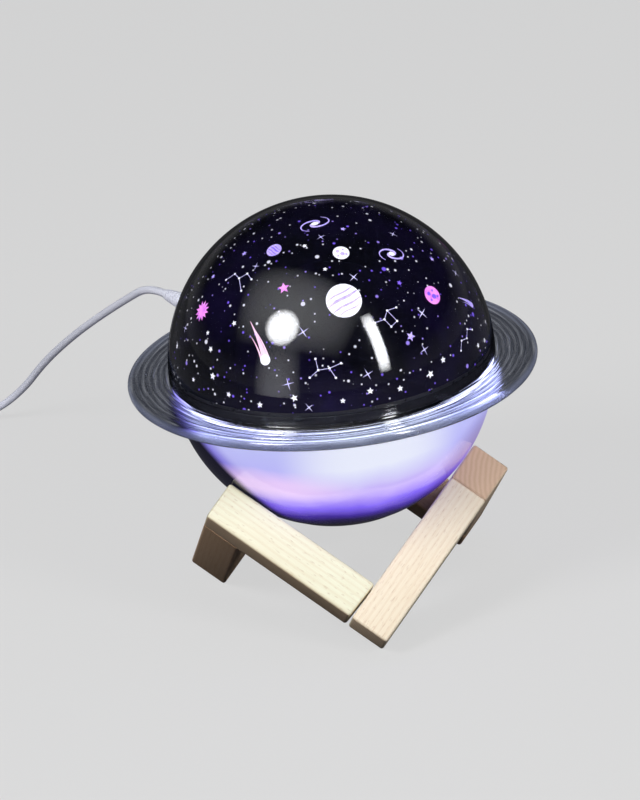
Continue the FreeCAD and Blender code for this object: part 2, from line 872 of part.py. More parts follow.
def planet_ring():
    """The flat ring, turned with a bead, a row of grooves and a rounded rim, and one notch."""
    bead_low = (s.bowl_radius + s.bead_start) - s.bead_width / 2
    bead_high = (s.bowl_radius + s.bead_start) + s.bead_width / 2
    bead_top = ring_top + s.bead_height
    crest = s.bead_width / 4
    corners = [(ring_bore, ring_low), (ring_radius, ring_low), (ring_radius, ring_top)]
    grooves = []
    number = 0
    last = float(ring_radius - s.ring_band)
    while float((s.bowl_radius + s.groove_start) + s.groove_pitch * number) <= last:
        middle = (s.bowl_radius + s.groove_start) + s.groove_pitch * number
        half = s.groove_width / 2
        grooves += [(middle - half, ring_top), (middle - half / 3, ring_top - s.groove_depth),
                    (middle + half / 3, ring_top - s.groove_depth), (middle + half, ring_top)]
        number += 1
    corners += reversed(grooves)
    corners += [(bead_high, ring_top), (bead_high - crest, bead_top), (bead_low + crest, bead_top),
                (bead_low, ring_top), (ring_bore, ring_top)]
    body = revolved("ring_turned", corners)
    rim = float(ring_radius) - 1e-3
    soften(body, s.ring_edge, lambda edge: edge.BoundBox.XMax > rim and len(edge.Vertexes) == 1)
    notch = inlet_block("ring_notch", s.notch_width, s.ring_thick * 2,
                        ring_bore - s.fit_gap, ring_radius + s.fit_gap)
    keep(cut("planet_ring", body, notch), "planet_ring", LAMP)


def retaining_collar():
    """Clamps the ring to the deck and centres the clear dome."""
    foot_outer = ring_bore - s.fit_gap
    body = revolved("collar_turned", [
        (collar_inner, deck_top), (foot_outer, deck_top), (foot_outer, ring_top),
        (collar_outer, ring_top), (collar_outer, collar_top), (collar_inner, collar_top)])
    tools = [inlet_block("collar_inlet_slot", s.notch_width, s.inlet_height + s.fit_gap,
                         collar_inner - s.fit_gap, ring_bore)]
    for angle in COLLAR_SCREW_ANGLES:
        x, y = around(collar_screw_ring, angle)
        tools.append(cylinder("collar_pilot", pilot_radius, s.ring_thick, deck_top, x, y))
    keep(cut("retaining_collar", body, fuse("collar_holes", tools)), "retaining_collar", LAMP)
    screw_set("collar_screws", float(s.deck_thick + s.ring_thick) - 1.0,
              screw_places(collar_screw_ring, COLLAR_SCREW_ANGLES, deck_low), True)


def clear_dome():
    """The glossy outer cover: a half ball with a short straight skirt, pushed over the collar."""
    skirt_low = ring_top + s.fit_gap
    skirt = dome_mid - skirt_low
    outer = fuse("dome_skin", [ball_slice("dome_ball", dome_radius, dome_mid, 0, 90),
                               cylinder("dome_skirt", dome_radius, skirt, skirt_low)])
    hollow = fuse("dome_hollow", [ball_slice("dome_hollow_ball", dome_inner, dome_mid, 0, 90),
                                  cylinder("dome_mouth", dome_inner, skirt, skirt_low)])
    keep(cut("clear_dome", outer, hollow), "clear_dome", LAMP)


def film_dome():
    """The thin printed dome that carries the picture of the stars."""
    tilt = arc_sine((film_edge - dome_mid) / film_radius)
    outer = ball_slice("film_ball", film_radius, dome_mid, tilt, 90)
    keep(cut("film_dome", outer, ball_slice("film_hollow", film_inner, dome_mid)),
         "film_dome", LAMP)


planet_ring()
retaining_collar()
clear_dome()
film_dome()


# ---------------------------------------------------------------- turntable and its drive

def gear_shape(teeth, bore, low, tall, half_step):
    """A spur gear with straight-flanked teeth, thinned so that the pair runs with backlash."""
    module = float(s.gear_module)
    pitch_radius = module * teeth / 2
    tip = pitch_radius + 0.8 * module
    foot = pitch_radius - 1.1 * module
    step = 2 * math.pi / teeth
    half_pitch = (math.pi * module - float(s.backlash)) / 4 / pitch_radius
    half_tip = half_pitch * 0.45
    half_foot = half_pitch * 1.35
    corners = []
    for tooth in range(int(teeth)):
        middle = (tooth + (0.5 if half_step else 0.0)) * step
        for radius, turn in ((foot, -half_foot), (tip, -half_tip), (tip, half_tip),
                             (foot, half_foot)):
            corners.append(Vector(radius * math.cos(middle + turn),
                                  radius * math.sin(middle + turn), low))
    corners.append(corners[0])
    blank = Part.Face(Part.makePolygon(corners)).extrude(UP * tall)
    return blank.cut(Part.makeCylinder(bore, tall, Vector(0, 0, low)))


def turntable():
    """The flat tray that carries the film dome and turns on the post."""
    bore = s.post_radius + s.running_gap
    hub_low = washer_top + s.running_gap
    tray_outer = ring_width_at(film_radius, film_edge - dome_mid)
    lip_top = film_edge + s.lip_height
    lip_outer = ring_width_at(film_inner, lip_top - dome_mid) - s.fit_gap
    lip_inner = lip_outer - s.lip_width
    keep(revolved("turntable_tray", [
        (bore, hub_low), (hub_radius, hub_low), (hub_radius, tray_low),
        (tray_outer, tray_low), (tray_outer, film_edge), (lip_outer, film_edge),
        (lip_outer, lip_top), (lip_inner, lip_top), (lip_inner, film_edge), (bore, film_edge)]),
        "turntable_tray", LAMP)
    feature("turntable_gear", gear_shape(float(s.gear_teeth), float(hub_radius),
                                         float(gear_low), float(s.gear_thick), False))


def drive_train():
    """The motor hangs under the deck; its shaft carries the pinion that turns the tray."""
    axis = float(motor_reach)
    low = float(gear_low) - 1.0
    top = float(tray_low) - 0.5
    shaft_radius = float(s.shaft_radius)
    at_axis = Placement(CENTRE + Vector(axis, 0, 0), Rotation())
    pinion = gear_shape(float(s.pinion_teeth), shaft_radius, low, top - low, True)
    feature("drive_pinion", pinion, at_axis)
    nose_top = float(deck_top - s.fit_gap)
    shaft_low = nose_top - float(s.shaft_depth)
    feature("motor_shaft", Part.makeCylinder(shaft_radius, top - shaft_low,
                                             Vector(0, 0, shaft_low)), at_axis)
    plate = float(s.motor_plate)
    plate_low = float(deck_low) - plate
    ear = float(s.motor_ear)
    wide = 2 * float(s.head_radius)
    can = Part.makeCylinder(float(s.motor_radius), float(s.motor_length),
                            Vector(0, 0, plate_low - float(s.motor_length)))
    strap = Part.makeBox(2 * wide, 2 * ear, plate, Vector(-wide, -ear, plate_low))
    ends = [Part.makeCylinder(wide, plate, Vector(0, ear * way, plate_low)) for way in (-1, 1)]
    nose = Part.makeCylinder(float(s.motor_nose), nose_top - plate_low, Vector(0, 0, plate_low))
    tools = [Part.makeCylinder(shaft_radius + float(s.running_gap), 2 * float(s.shaft_depth),
                               Vector(0, 0, shaft_low - float(s.running_gap)))]
    tools += [Part.makeCylinder(float(pilot_radius), plate, Vector(0, ear * way, plate_low))
              for way in (-1, 1)]
    body = can.multiFuse([strap, nose] + ends).removeSplitter().cut(Part.makeCompound(tools))
    feature("turntable_motor", body, at_axis)
    places = [(axis, ear * way, float(deck_top)) for way in (-1, 1)]
    screw_set("motor_screws", float(s.deck_thick + s.motor_plate), places)


turntable()
drive_train()


# ---------------------------------------------------------------- wiring, power inlet and lead

def bent_path(points):
    """Straight runs joined by tangent arcs, each as large as its two runs allow."""
    spots = [Vector(*point) for point in points]
    edges = []
    radii = []
    start = spots[0]
    for before, corner, after in zip(spots, spots[1:], spots[2:]):
        way_in = (corner - before).normalize()
        way_out = (after - corner).normalize()
        half_turn = way_in.getAngle(way_out) / 2
        reach = 0.45 * min(before.distanceToPoint(corner), corner.distanceToPoint(after))
        radius = reach / math.tan(half_turn)
        radii.append(radius)
        enter = corner - way_in * reach
        leave = corner + way_out * reach
        inward = (way_out - way_in).normalize()
        middle = corner + inward * (radius / math.cos(half_turn) - radius)
        edges.append(Part.LineSegment(start, enter).toShape())
        edges.append(Part.Arc(enter, middle, leave).toShape())
        start = leave
    edges.append(Part.LineSegment(start, spots[-1]).toShape())
    return Part.Wire(edges), radii


def sweep(label, points, radius, placement):
    """A round cable along a bent path; its volume is compared with section times length."""
    path, radii = bent_path(points)
    start = Vector(*points[0])
    way = Vector(*points[1]) - start
    profile = Part.Wire([Part.makeCircle(radius, start, way)])
    solid = path.makePipeShell([profile], True, False)
    expected = math.pi * radius ** 2 * path.Length
    print(label, "length", round(path.Length, 1), "radii", [round(r, 1) for r in radii],
          "volume ratio", round(solid.Volume / expected, 4))
    feature(label, solid, placement)
    return path.Length


def internal_leads():
    """Wires from the control board to the star light, the motor and the power inlet."""
    radius = float(s.wire_radius)
    start = float(board_top)
    sweep("star_lead", [(6, 0, start), (6, 0, start + 14), (2, 1, start + 30),
                        (1, 0, float(deck_low) - 8), (1, 0, float(s.post_top))], radius, LAMP)
    motor_low = float(deck_low - s.motor_plate - s.motor_length)
    axis = float(motor_reach)
    sweep("motor_lead", [(10, -8, start), (10, -8, start + 12), (22, -6, start + 22),
                         (axis, -5, motor_low - 9), (axis, -5, motor_low)], radius, LAMP)
    way = INLET_TURN.multVec(Vector(1, 0, 0))
    reach = float(inlet_back) + 5
    under = -float(s.inlet_drop + s.inlet_height / 2)
    points = [(-8, 12, start), (-8, 12, start + 15)]
    for out, height in ((36, under - 26), (reach - 4, under - 16), (reach, under - 7),
                        (reach, under)):
        points.append((way.x * out, way.y * out, height))
    sweep("inlet_lead", points, radius, LAMP)


def x_cylinder(radius, start, end):
    return Part.makeCylinder(radius, end - start, Vector(start, 0, 0), Vector(1, 0, 0))


def power_inlet():
    """The socket between the two halves of the globe, with its plug in place."""
    back = float(inlet_back)
    front = float(inlet_front)
    wide = float(s.inlet_width)
    tall = float(s.inlet_height)
    mouth = front - float(s.inlet_depth)
    block = Part.makeBox(front - back, wide, tall, Vector(back, -wide / 2, -tall / 2))
    block = block.cut(x_cylinder(float(s.inlet_bore), mouth, front))
    block = block.fuse(x_cylinder(float(s.contact_pin), mouth - 1, front - 1))
    feature("power_inlet", block, INLET)
    grip = float(s.bowl_radius + s.plug_gap)
    grip_end = grip + float(s.plug_length)
    barrel = x_cylinder(float(s.inlet_bore - s.running_gap), mouth + 0.5, grip)
    barrel = barrel.cut(x_cylinder(float(s.plug_bore), mouth + 0.5, front))
    feature("plug_barrel", barrel, INLET)
    handle = x_cylinder(float(s.plug_radius), grip, grip_end)
    handle = handle.makeChamfer(float(s.plug_radius - s.relief_radius), handle.Edges)
    feature("plug_grip", handle, INLET)
    relief = Part.makeCone(float(s.relief_radius), float(s.cord_radius + s.relief_lip),
                           float(s.relief_length), Vector(grip_end, 0, 0), Vector(1, 0, 0))
    feature("strain_relief", relief, INLET)
    return grip_end + float(s.relief_length)


def cord_coil(enter, way):
    """The put-away length, one neat coil on the table; the cord runs onto its outer turn."""
    cord = float(s.cord_radius)
    half_wide = float(s.coil_turns_wide) * cord
    tall = float(s.coil_turns_high) * 2 * cord
    mean = float(s.coil_radius)
    outer_turn = mean + half_wide - cord
    middle = Vector(enter.x - way.y * outer_turn, enter.y + way.x * outer_turn, 0)
    rim = Part.makeCylinder(mean + half_wide, tall, middle)
    coil = rim.cut(Part.makeCylinder(mean - half_wide, tall, middle))
    circles = [edge for edge in coil.Edges if len(edge.Vertexes) == 1]
    feature("cord_coil", coil.makeChamfer(cord / 2, circles), Placement())
    return middle + Vector(-outer_turn, -half_wide * 2, float(s.usb_grip_height) / 2)


def usb_plug(tail):
    """The plug for the power supply, lying beside the coil at the lead's far end."""
    place = Placement(tail, Rotation(UP, -90))
    cord = float(s.cord_radius)
    start = float(s.usb_relief)
    long = float(s.usb_grip_length)
    wide = float(s.usb_grip_width)
    thick = float(s.usb_grip_height)
    relief = Part.makeCone(cord, cord * 1.5, start, Vector(), Vector(1, 0, 0))
    grip = Part.makeBox(long, wide, thick, Vector(start, -wide / 2, -thick / 2))
    feature("usb_grip", relief.fuse(grip.makeFillet(cord / 2, grip.Edges)), place)
    wall = 0.4
    long = float(s.usb_shell)
    start += float(s.usb_grip_length)
    wide = float(s.usb_width)
    thick = float(s.usb_height)
    metal = Part.makeBox(long, wide, thick, Vector(start, -wide / 2, -thick / 2))
    mouth = Part.makeBox(long, wide - 2 * wall, thick / 2 - wall,
                         Vector(start + 1, wall - wide / 2, 0))
    feature("usb_shell", metal.cut(mouth), place)


inlet_end = power_inlet()
internal_leads()
exit_point = INLET.multVec(Vector(inlet_end, 0, 0))
straight_out = INLET.multVec(Vector(inlet_end + 16, 0, 0))
LEAD_ROUTE = [
    (exit_point.x, exit_point.y, exit_point.z),
    (straight_out.x, straight_out.y, straight_out.z),
    (-77.0, 166.2, 104.4),
    (-92.0, 196.5, 83.6),
    (-104.2, 223.2, 64.2),
    (-115.8, 247.6, 44.0),
    (-126.5, 268.0, 22.5),
    (-141.5, 284.0, 6.2),
    (-156.0, 293.0, float(s.cord_radius)),
    (-172.0, 297.0, float(s.cord_radius)),
]
free_length = sweep("power_cord", LEAD_ROUTE, float(s.cord_radius), Placement())
lead_end = Vector(*LEAD_ROUTE[-1])
usb_plug(cord_coil(lead_end, (lead_end - Vector(*LEAD_ROUTE[-2])).normalize()))
turns = float(s.coil_turns_wide * s.coil_turns_high)
coil_length = turns * 2 * math.pi * float(s.coil_radius)
print("lead: free run", round(free_length), "coil", round(coil_length))


# ---------------------------------------------------------------- check and write

doc.recompute()
for item in doc.Objects:
    if "Invalid" in item.State or "Error" in item.State:
        raise RuntimeError(f"{item.Name} failed: {item.State}")
labels = [piece.Label for piece in final_pieces]
if len(set(labels)) != len(labels):
    raise RuntimeError("two sub-parts share a name")
os.makedirs("parts", exist_ok=True)
for piece in final_pieces:
    shape = piece.Shape
    if shape.isNull() or not shape.isValid() or not shape.Solids:
        raise RuntimeError(f"{piece.Label} has no valid shape")
    shape.exportStep(f"parts/{piece.Label}.step")
print(len(final_pieces), "sub-parts, lamp centre at", round(CENTRE.z, 3))
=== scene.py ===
# %% [markdown]
# # A ringed-planet lamp that throws stars
#
# This lesson dresses a small tabletop planetarium: a glowing bowl, a grooved ring like a
# planet's, a printed black dome that turns slowly under a clear cover, and a cradle of three
# pairs of wooden bars. The mechanical parts come from a measured model, and every piece made
# here sits where that model says.

# %% Start from the measured model
import math

import bmesh
import bpy
from mathutils import Matrix, Vector


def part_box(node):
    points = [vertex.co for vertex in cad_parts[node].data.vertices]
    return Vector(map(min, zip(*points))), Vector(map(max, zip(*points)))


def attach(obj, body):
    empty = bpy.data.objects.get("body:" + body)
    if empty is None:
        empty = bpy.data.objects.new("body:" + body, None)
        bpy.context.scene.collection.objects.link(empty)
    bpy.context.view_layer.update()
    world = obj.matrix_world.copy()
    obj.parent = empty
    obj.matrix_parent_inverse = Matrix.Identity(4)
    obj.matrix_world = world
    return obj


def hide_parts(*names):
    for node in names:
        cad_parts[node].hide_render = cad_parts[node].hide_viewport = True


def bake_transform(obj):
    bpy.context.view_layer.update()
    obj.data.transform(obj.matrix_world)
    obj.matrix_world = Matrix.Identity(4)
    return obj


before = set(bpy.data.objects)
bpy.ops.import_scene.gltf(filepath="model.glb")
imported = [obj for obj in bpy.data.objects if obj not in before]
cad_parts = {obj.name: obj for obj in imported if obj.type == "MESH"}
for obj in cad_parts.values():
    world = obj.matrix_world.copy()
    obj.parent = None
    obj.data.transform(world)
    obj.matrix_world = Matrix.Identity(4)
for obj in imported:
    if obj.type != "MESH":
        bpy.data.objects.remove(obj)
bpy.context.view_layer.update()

# %% [markdown]
# ## The camera
#
# A long lens from well away keeps the dome round, as a catalogue picture does. The camera looks
# down by a little over twenty degrees and is rolled a few degrees. It could be placed by eye,
# but a target, a distance and two angles are easier to read and to change.

# %% Camera
MM = 0.001
globe_centre = Vector((0.0, 0.0, 119.872 * MM))
looking_at = Vector((-7.492, 1.084, 102.14)) * MM
camera_distance = 2.49612
camera_turn = math.radians(-8.23)
camera_height = math.radians(22.56)
camera_roll = -0.1012
bpy.ops.object.camera_add()
camera = bpy.context.object
camera.name = "lamp_camera"
camera.data.lens = 234
camera.data.sensor_width = 36
step_back = Vector((math.cos(camera_height) * math.sin(camera_turn),
                    -math.cos(camera_height) * math.cos(camera_turn), math.sin(camera_height)))
camera.matrix_world = (Matrix.Translation(looking_at + step_back * camera_distance)
                       @ Matrix.Rotation(camera_turn, 4, "Z")
                       @ Matrix.Rotation(math.radians(90) - camera_height, 4, "X")
                       @ Matrix.Rotation(camera_roll, 4, "Z"))
bpy.context.scene.camera = camera
print("camera stands at", [round(v, 3) for v in camera.location])

# %% [markdown]
# ## Small tools for the bench
#
# An operator works on everything that is selected, so the bench is cleared before each piece.
# When a piece is done its place is baked into its mesh, so that its pattern stays with it.

# %% Bench tools
def clear_bench():
    """Nothing selected and nothing active, in object mode."""
    if bpy.context.object and bpy.context.object.mode != "OBJECT":
        bpy.ops.object.mode_set(mode="OBJECT")
    bpy.ops.object.select_all(action="DESELECT")


def take(piece):
    """Only this piece is selected and active."""
    clear_bench()
    piece.select_set(True)
    bpy.context.view_layer.objects.active = piece


def name_piece(name):
    """Names the piece that was just added, and its mesh."""
    piece = bpy.context.object
    piece.name = name
    piece.data.name = name + "_mesh"
    return piece


def settle(piece, place=None):
    """Puts a piece at its place, and bakes that place into its mesh."""
    take(piece)
    if place is not None:
        piece.matrix_world = place
    bpy.ops.object.transform_apply(location=True, rotation=True, scale=True)


def shape(piece):
    """Opens a piece for shaping, and returns its mesh for choosing faces and edges."""
    take(piece)
    bpy.ops.object.mode_set(mode="EDIT")
    bpy.ops.mesh.select_mode(type="VERT")
    return bmesh.from_edit_mesh(piece.data)


def choose(mesh, parts, wanted):
    """Selects only those vertices, edges or faces that pass a test, and counts them."""
    for group in (mesh.faces, mesh.edges, mesh.verts):
        for part in group:
            part.select = False
    bpy.ops.mesh.select_mode(type={"verts": "VERT", "edges": "EDGE", "faces": "FACE"}[parts])
    count = 0
    for part in getattr(mesh, parts):
        if wanted(part):
            part.select = True
            count += 1
    mesh.select_flush_mode()
    return count


def finish_modifiers(piece):
    """Applies every modifier of a piece, in order."""
    take(piece)
    for modifier in [m.name for m in piece.modifiers]:
        bpy.ops.object.modifier_apply(modifier=modifier)


def round_off(piece, angle):
    """Smooth shading, with an edge kept wherever faces meet more sharply than the angle."""
    take(piece)
    bpy.ops.object.shade_smooth_by_angle(angle=math.radians(angle))


def cut_out(piece, cutter):
    """Cuts one shape out of another, and throws the cutter away."""
    cut = piece.modifiers.new("cut", "BOOLEAN")
    cut.operation = "DIFFERENCE"
    cut.solver = "EXACT"
    cut.object = cutter
    finish_modifiers(piece)
    bpy.data.objects.remove(cutter)


def triangles(piece):
    """How many triangles the faces of a piece come to."""
    return sum(len(face.vertices) - 2 for face in piece.data.polygons)


def report(piece):
    """Prints a piece's name and size in triangles."""
    print(f"{piece.name}: {triangles(piece)} triangles")


def in_metres(section, rise=0.0):
    """A section drawn in millimetres as (radius, height), in metres and raised to its place."""
    return [(radius * MM, rise + height * MM) for radius, height in section]


def turned(name, outline, steps=160, closed=True):
    """A turned piece: a line of points (radius, height) in metres is drawn point by point and
    spun round the upright axis. A plane, merged to its middle, gives the first point."""
    clear_bench()
    bpy.ops.mesh.primitive_plane_add(size=MM)
    piece = name_piece(name)
    bpy.ops.object.mode_set(mode="EDIT")
    bpy.ops.mesh.select_mode(type="VERT")
    bpy.ops.mesh.select_all(action="SELECT")
    bpy.ops.mesh.merge(type="CENTER")
    mesh = bmesh.from_edit_mesh(piece.data)
    mesh.verts.ensure_lookup_table()
    mesh.verts[0].co = (outline[0][0], 0, outline[0][1])
    bmesh.update_edit_mesh(piece.data)
    for before, after in zip(outline, outline[1:]):
        move = (after[0] - before[0], 0, after[1] - before[1])
        bpy.ops.mesh.extrude_vertices_move(TRANSFORM_OT_translate={"value": move})
    if closed:
        mesh = bmesh.from_edit_mesh(piece.data)
        choose(mesh, "verts", lambda point: len(point.link_edges) == 1)
        bpy.ops.mesh.edge_face_add()
    bpy.ops.mesh.select_all(action="SELECT")
    bpy.ops.mesh.spin(steps=steps, angle=math.tau, center=(0, 0, 0), axis=(0, 0, 1))
    bpy.ops.mesh.select_all(action="SELECT")
    bpy.ops.mesh.remove_doubles(threshold=0.001 * MM)
    bpy.ops.mesh.select_all(action="SELECT")
    bpy.ops.mesh.normals_make_consistent(inside=False)
    bpy.ops.object.mode_set(mode="OBJECT")
    return piece


clear_bench()

# %% [markdown]
# ## The lead
#
# A thin USB lead leaves the plug at the back of the globe, sags to the table under its own
# weight, and its spare length is wound in a neat coil. One smooth spline, led by a few given
# points, sags the way a real lead does, which a chain of straight runs and corners never does.
# The coil's turns are more points of the same spline: three lanes below, then a climb inside,
# and the same lanes again on top.

# %% The route of the lead
lead_thickness = 4.0 * MM
lying_height = 2.25
lead_route = [
    (-60.646, 130.055, 117.672), (-67.408, 144.556, 117.672), (-77.0, 166.2, 104.4),
    (-92.0, 196.5, 83.6), (-104.2, 223.2, 64.2), (-115.8, 247.6, 44.0),
    (-126.5, 268.0, 22.5), (-141.5, 284.0, 6.2),
    (-156.0, 293.0, lying_height), (-172.0, 297.0, lying_height),
]
into_far_plug = [(-208.655, 267.0, 6.6), (-208.655, 261.0, 5.2), (-208.655, 254.881, 4.0)]
coil_centre = (-179.155, 268.381)
coil_entry = math.radians(76.0)
coil_turns = 5.2889
points_a_turn = 18
outer_lane, lane_step = 29.5, 4.5
lane_changes = ((0.83, 1.0, -1), (1.83, 2.0, -1), (3.43, 3.6, 1), (4.43, 4.6, 1))
climb_start, climb_end = 2.6, 2.83


def ease(value, start, end):
    """A soft step from 0 to 1."""
    part = min(1.0, max(0.0, (value - start) / (end - start)))
    return part * part * (3 - 2 * part)


def coil_point(turn):
    """A point of the winding, after so many turns. The spline passes inside its points, so
    they stand a little outside the lane."""
    lane = outer_lane
    for start, end, way in lane_changes:
        lane += way * lane_step * ease(turn, start, end)
    height = lying_height + lane_step * ease(turn, climb_start, climb_end)
    angle = coil_entry + turn * math.tau
    reach = lane / math.cos(math.pi / points_a_turn)
    x = coil_centre[0] + reach * math.cos(angle)
    y = coil_centre[1] + reach * math.sin(angle)
    return x, y, height


lead_points = list(lead_route)
for i in range(1, int(coil_turns * points_a_turn) + 1):
    lead_points.append(coil_point(i / points_a_turn))
lead_points += into_far_plug
print(len(lead_points), "points along the lead")

# %% [markdown]
# The spline is made twice: once bare, so that its own line can be read, and once with a round
# section, which becomes the tube. The tube is then turned into a mesh.

# %% The lead's spline and tube
def lead_spline(name, thickness):
    """The lead as a curve. Without a thickness it is a bare line."""
    line = bpy.data.curves.new(name, "CURVE")
    line.dimensions = "3D"
    line.resolution_u = 8
    line.bevel_depth = thickness / 2
    line.bevel_resolution = 4
    line.use_fill_caps = thickness > 0
    spline = line.splines.new("NURBS")
    spline.points.add(len(lead_points) - 1)
    for place, point in zip(lead_points, spline.points):
        point.co = (place[0] * MM, place[1] * MM, place[2] * MM, 1)
    spline.order_u = 3
    spline.use_endpoint_u = True
    spline.resolution_u = 8
    spline.use_smooth = True
    curve = bpy.data.objects.new(name, line)
    bpy.context.scene.collection.objects.link(curve)
    return curve


clear_bench()
bare_line = lead_spline("lead_line", 0)
line_mesh = bpy.data.meshes.new_from_object(bare_line)
bpy.data.objects.remove(bare_line)
lead = lead_spline("usb_lead", lead_thickness)
take(lead)
bpy.ops.object.convert(target="MESH")
lead = bpy.context.object
take(lead)
bpy.ops.object.shade_smooth()

# %% [markdown]
# ## Small tools for shaders
#
# A shader is a chain of nodes, which could be laid out by hand in the shader editor. These tools
# add a node and link or set its sockets, so that a finish reads as a few plain lines. Some
# shaders ask how a ray came: straight to the eye, by way of polish, or only through clear walls.

# %% Shader tools
def set_input(tree, made, socket, value):
    """Links a socket, or sets its number or colour."""
    if isinstance(value, bpy.types.NodeSocket):
        tree.links.new(value, made.inputs[socket])
    else:
        made.inputs[socket].default_value = value


def node_in(tree, kind, **inputs):
    """A new node, with its sockets given by name."""
    made = tree.nodes.new("ShaderNode" + kind)
    for socket, value in inputs.items():
        set_input(tree, made, socket.replace("_", " "), value)
    return made


def reckon(tree, operation, *values):
    """A sum on one or two values or sockets."""
    made = tree.nodes.new("ShaderNodeMath")
    made.operation = operation
    for i, value in enumerate(values):
        set_input(tree, made, i, value)
    return made.outputs[0]


def span(tree, value, low, high, to_low=0.0, to_high=1.0, how="LINEAR"):
    """A number that goes from one value to another between two limits, and stays at its ends."""
    made = tree.nodes.new("ShaderNodeMapRange")
    made.clamp = True
    made.interpolation_type = how
    set_input(tree, made, "Value", value)
    limits = {"From Min": low, "From Max": high, "To Min": to_low, "To Max": to_high}
    for socket, number in limits.items():
        made.inputs[socket].default_value = number
    return made.outputs[0]


def steps_of(tree, value, stops, how="LINEAR"):
    """Turns a value into colours: stops are (place, colour)."""
    made = tree.nodes.new("ShaderNodeValToRGB")
    tree.links.new(value, made.inputs[0])
    line = made.color_ramp
    line.interpolation = how
    while len(line.elements) < len(stops):
        line.elements.new(0.5)
    for element, (place, colour) in zip(line.elements, stops):
        element.position = place
        element.color = (*colour, 1)
    return made.outputs[0]


def blend_of(tree, share, first, second):
    """Two colours in one, with a share of the second."""
    made = tree.nodes.new("ShaderNodeMix")
    made.data_type = "RGBA"
    set_input(tree, made, 0, share)
    for socket, colour in ((6, first), (7, second)):
        if not isinstance(colour, bpy.types.NodeSocket):
            colour = (*colour, 1)
        set_input(tree, made, socket, colour)
    return made.outputs[2]


def mix_shaders(tree, share, first, second):
    """Two shaders in one, with a share of the second."""
    made = node_in(tree, "MixShader", Fac=share)
    tree.links.new(first.outputs[0], made.inputs[1])
    tree.links.new(second.outputs[0], made.inputs[2])
    return made


def ray_marks(tree):
    """How a ray came, and a number that is 1 once it has met polish."""
    rays = tree.nodes.new("ShaderNodeLightPath")
    return rays, reckon(tree, "MINIMUM", rays.outputs["Glossy Depth"], 1.0)


def clear_way(tree):
    """1 for a ray that came through clear walls and has met no polish."""
    rays, polished = ray_marks(tree)
    unpolished = reckon(tree, "SUBTRACT", 1.0, polished)
    return reckon(tree, "MULTIPLY", rays.outputs["Is Transmission Ray"], unpolished)


print("shader tools ready")

# %% [markdown]
# ## The table and the light
#
# The lamp stands on a pale, plain sweep. The eye sees the sweep's own even colour, also through
# clear glass, and a part of it still takes the lamp's soft shadow. Polish sees it dimly, which
# keeps the dome black. A round softbox to the left and a tall strip to the right light the wood
# and draw the two highlights on the dome. Two weak cards that only polish shows give the dome
# its grey window.

# %% The sweep
pale_sweep = (0.693, 0.693, 0.693)
shadow_share = 0.13
sweep_in_polish = 0.05
sweep_across = 16
clear_bench()
bpy.ops.mesh.primitive_plane_add(size=sweep_across)
sweep = name_piece("pale_sweep")
sweep_finish = bpy.data.materials.new("pale_sweep")
sweep_finish.use_nodes = True
tree = sweep_finish.node_tree
tree.nodes.clear()
rays, polished = ray_marks(tree)
seen = reckon(tree, "MAXIMUM", rays.outputs["Is Camera Ray"], clear_way(tree))
met_polish = reckon(tree, "MAXIMUM", rays.outputs["Is Glossy Ray"], polished)
seen = reckon(tree, "MAXIMUM", seen, reckon(tree, "MULTIPLY", met_polish, sweep_in_polish))
even = node_in(tree, "Emission", Color=(*pale_sweep, 1), Strength=1.0)
shaded = node_in(tree, "BsdfDiffuse", Color=(0.80, 0.80, 0.80, 1))
dim = node_in(tree, "BsdfDiffuse", Color=(0.03, 0.03, 0.034, 1))
by_ray = mix_shaders(tree, seen, dim, mix_shaders(tree, shadow_share, even, shaded))
out = tree.nodes.new("ShaderNodeOutputMaterial")
tree.links.new(by_ray.outputs[0], out.inputs["Surface"])
sweep.data.materials.append(sweep_finish)
print("sweep laid")

# %% [markdown]
# The room is a shader too. Seen straight it has the sweep's colour, so the sweep shows no far
# edge. Seen through clear walls it is pale near the floor and dark above, and polish shows the
# same at about an eighth of its strength. Everything else gets a weak, bluish fill light.

# %% The room around it
room_in_polish = 0.12
pale_below, dark_above = 0.04, 0.24
room = bpy.data.worlds.new("quiet_studio")
bpy.context.scene.world = room
room.use_nodes = True
tree = room.node_tree
tree.nodes.clear()
rays, polished = ray_marks(tree)
way = tree.nodes.new("ShaderNodeTexCoord")
split = node_in(tree, "SeparateXYZ", Vector=way.outputs["Generated"])
ceiling = steps_of(tree, split.outputs["Z"], [(pale_below, pale_sweep), (dark_above, (0.010, 0.010, 0.012))])
through = reckon(tree, "MAXIMUM", rays.outputs["Is Glossy Ray"], rays.outputs["Is Transmission Ray"])
plain = node_in(tree, "Background", Color=(*pale_sweep, 1), Strength=1.0)
mirrored = node_in(tree, "Background", Color=ceiling,
                   Strength=span(tree, polished, 0.0, 1.0, 1.0, room_in_polish))
fill_light = node_in(tree, "Background", Color=(0.86, 0.90, 1.0, 1), Strength=0.20)
bent = mix_shaders(tree, through, fill_light, mirrored)
by_ray = mix_shaders(tree, rays.outputs["Is Camera Ray"], bent, plain)
out = tree.nodes.new("ShaderNodeOutputWorld")
tree.links.new(by_ray.outputs[0], out.inputs["Surface"])
print("room ready")

# %% [markdown]
# A lamp's place could be typed as three numbers, but a turn and a height about the globe are
# easier to judge. How bright its face looks is what the dome's highlight shows, so the power
# follows from that and from the size. The faces fade towards their edges, as lit cloth does.


# %% The lamps of the studio
def direction(turn, height):
    """The way to something that is seen at a turn and a height, in degrees."""
    turn, height = math.radians(turn), math.radians(height)
    level = math.cos(height)
    return Vector((level * math.cos(turn), level * math.sin(turn), math.sin(height)))


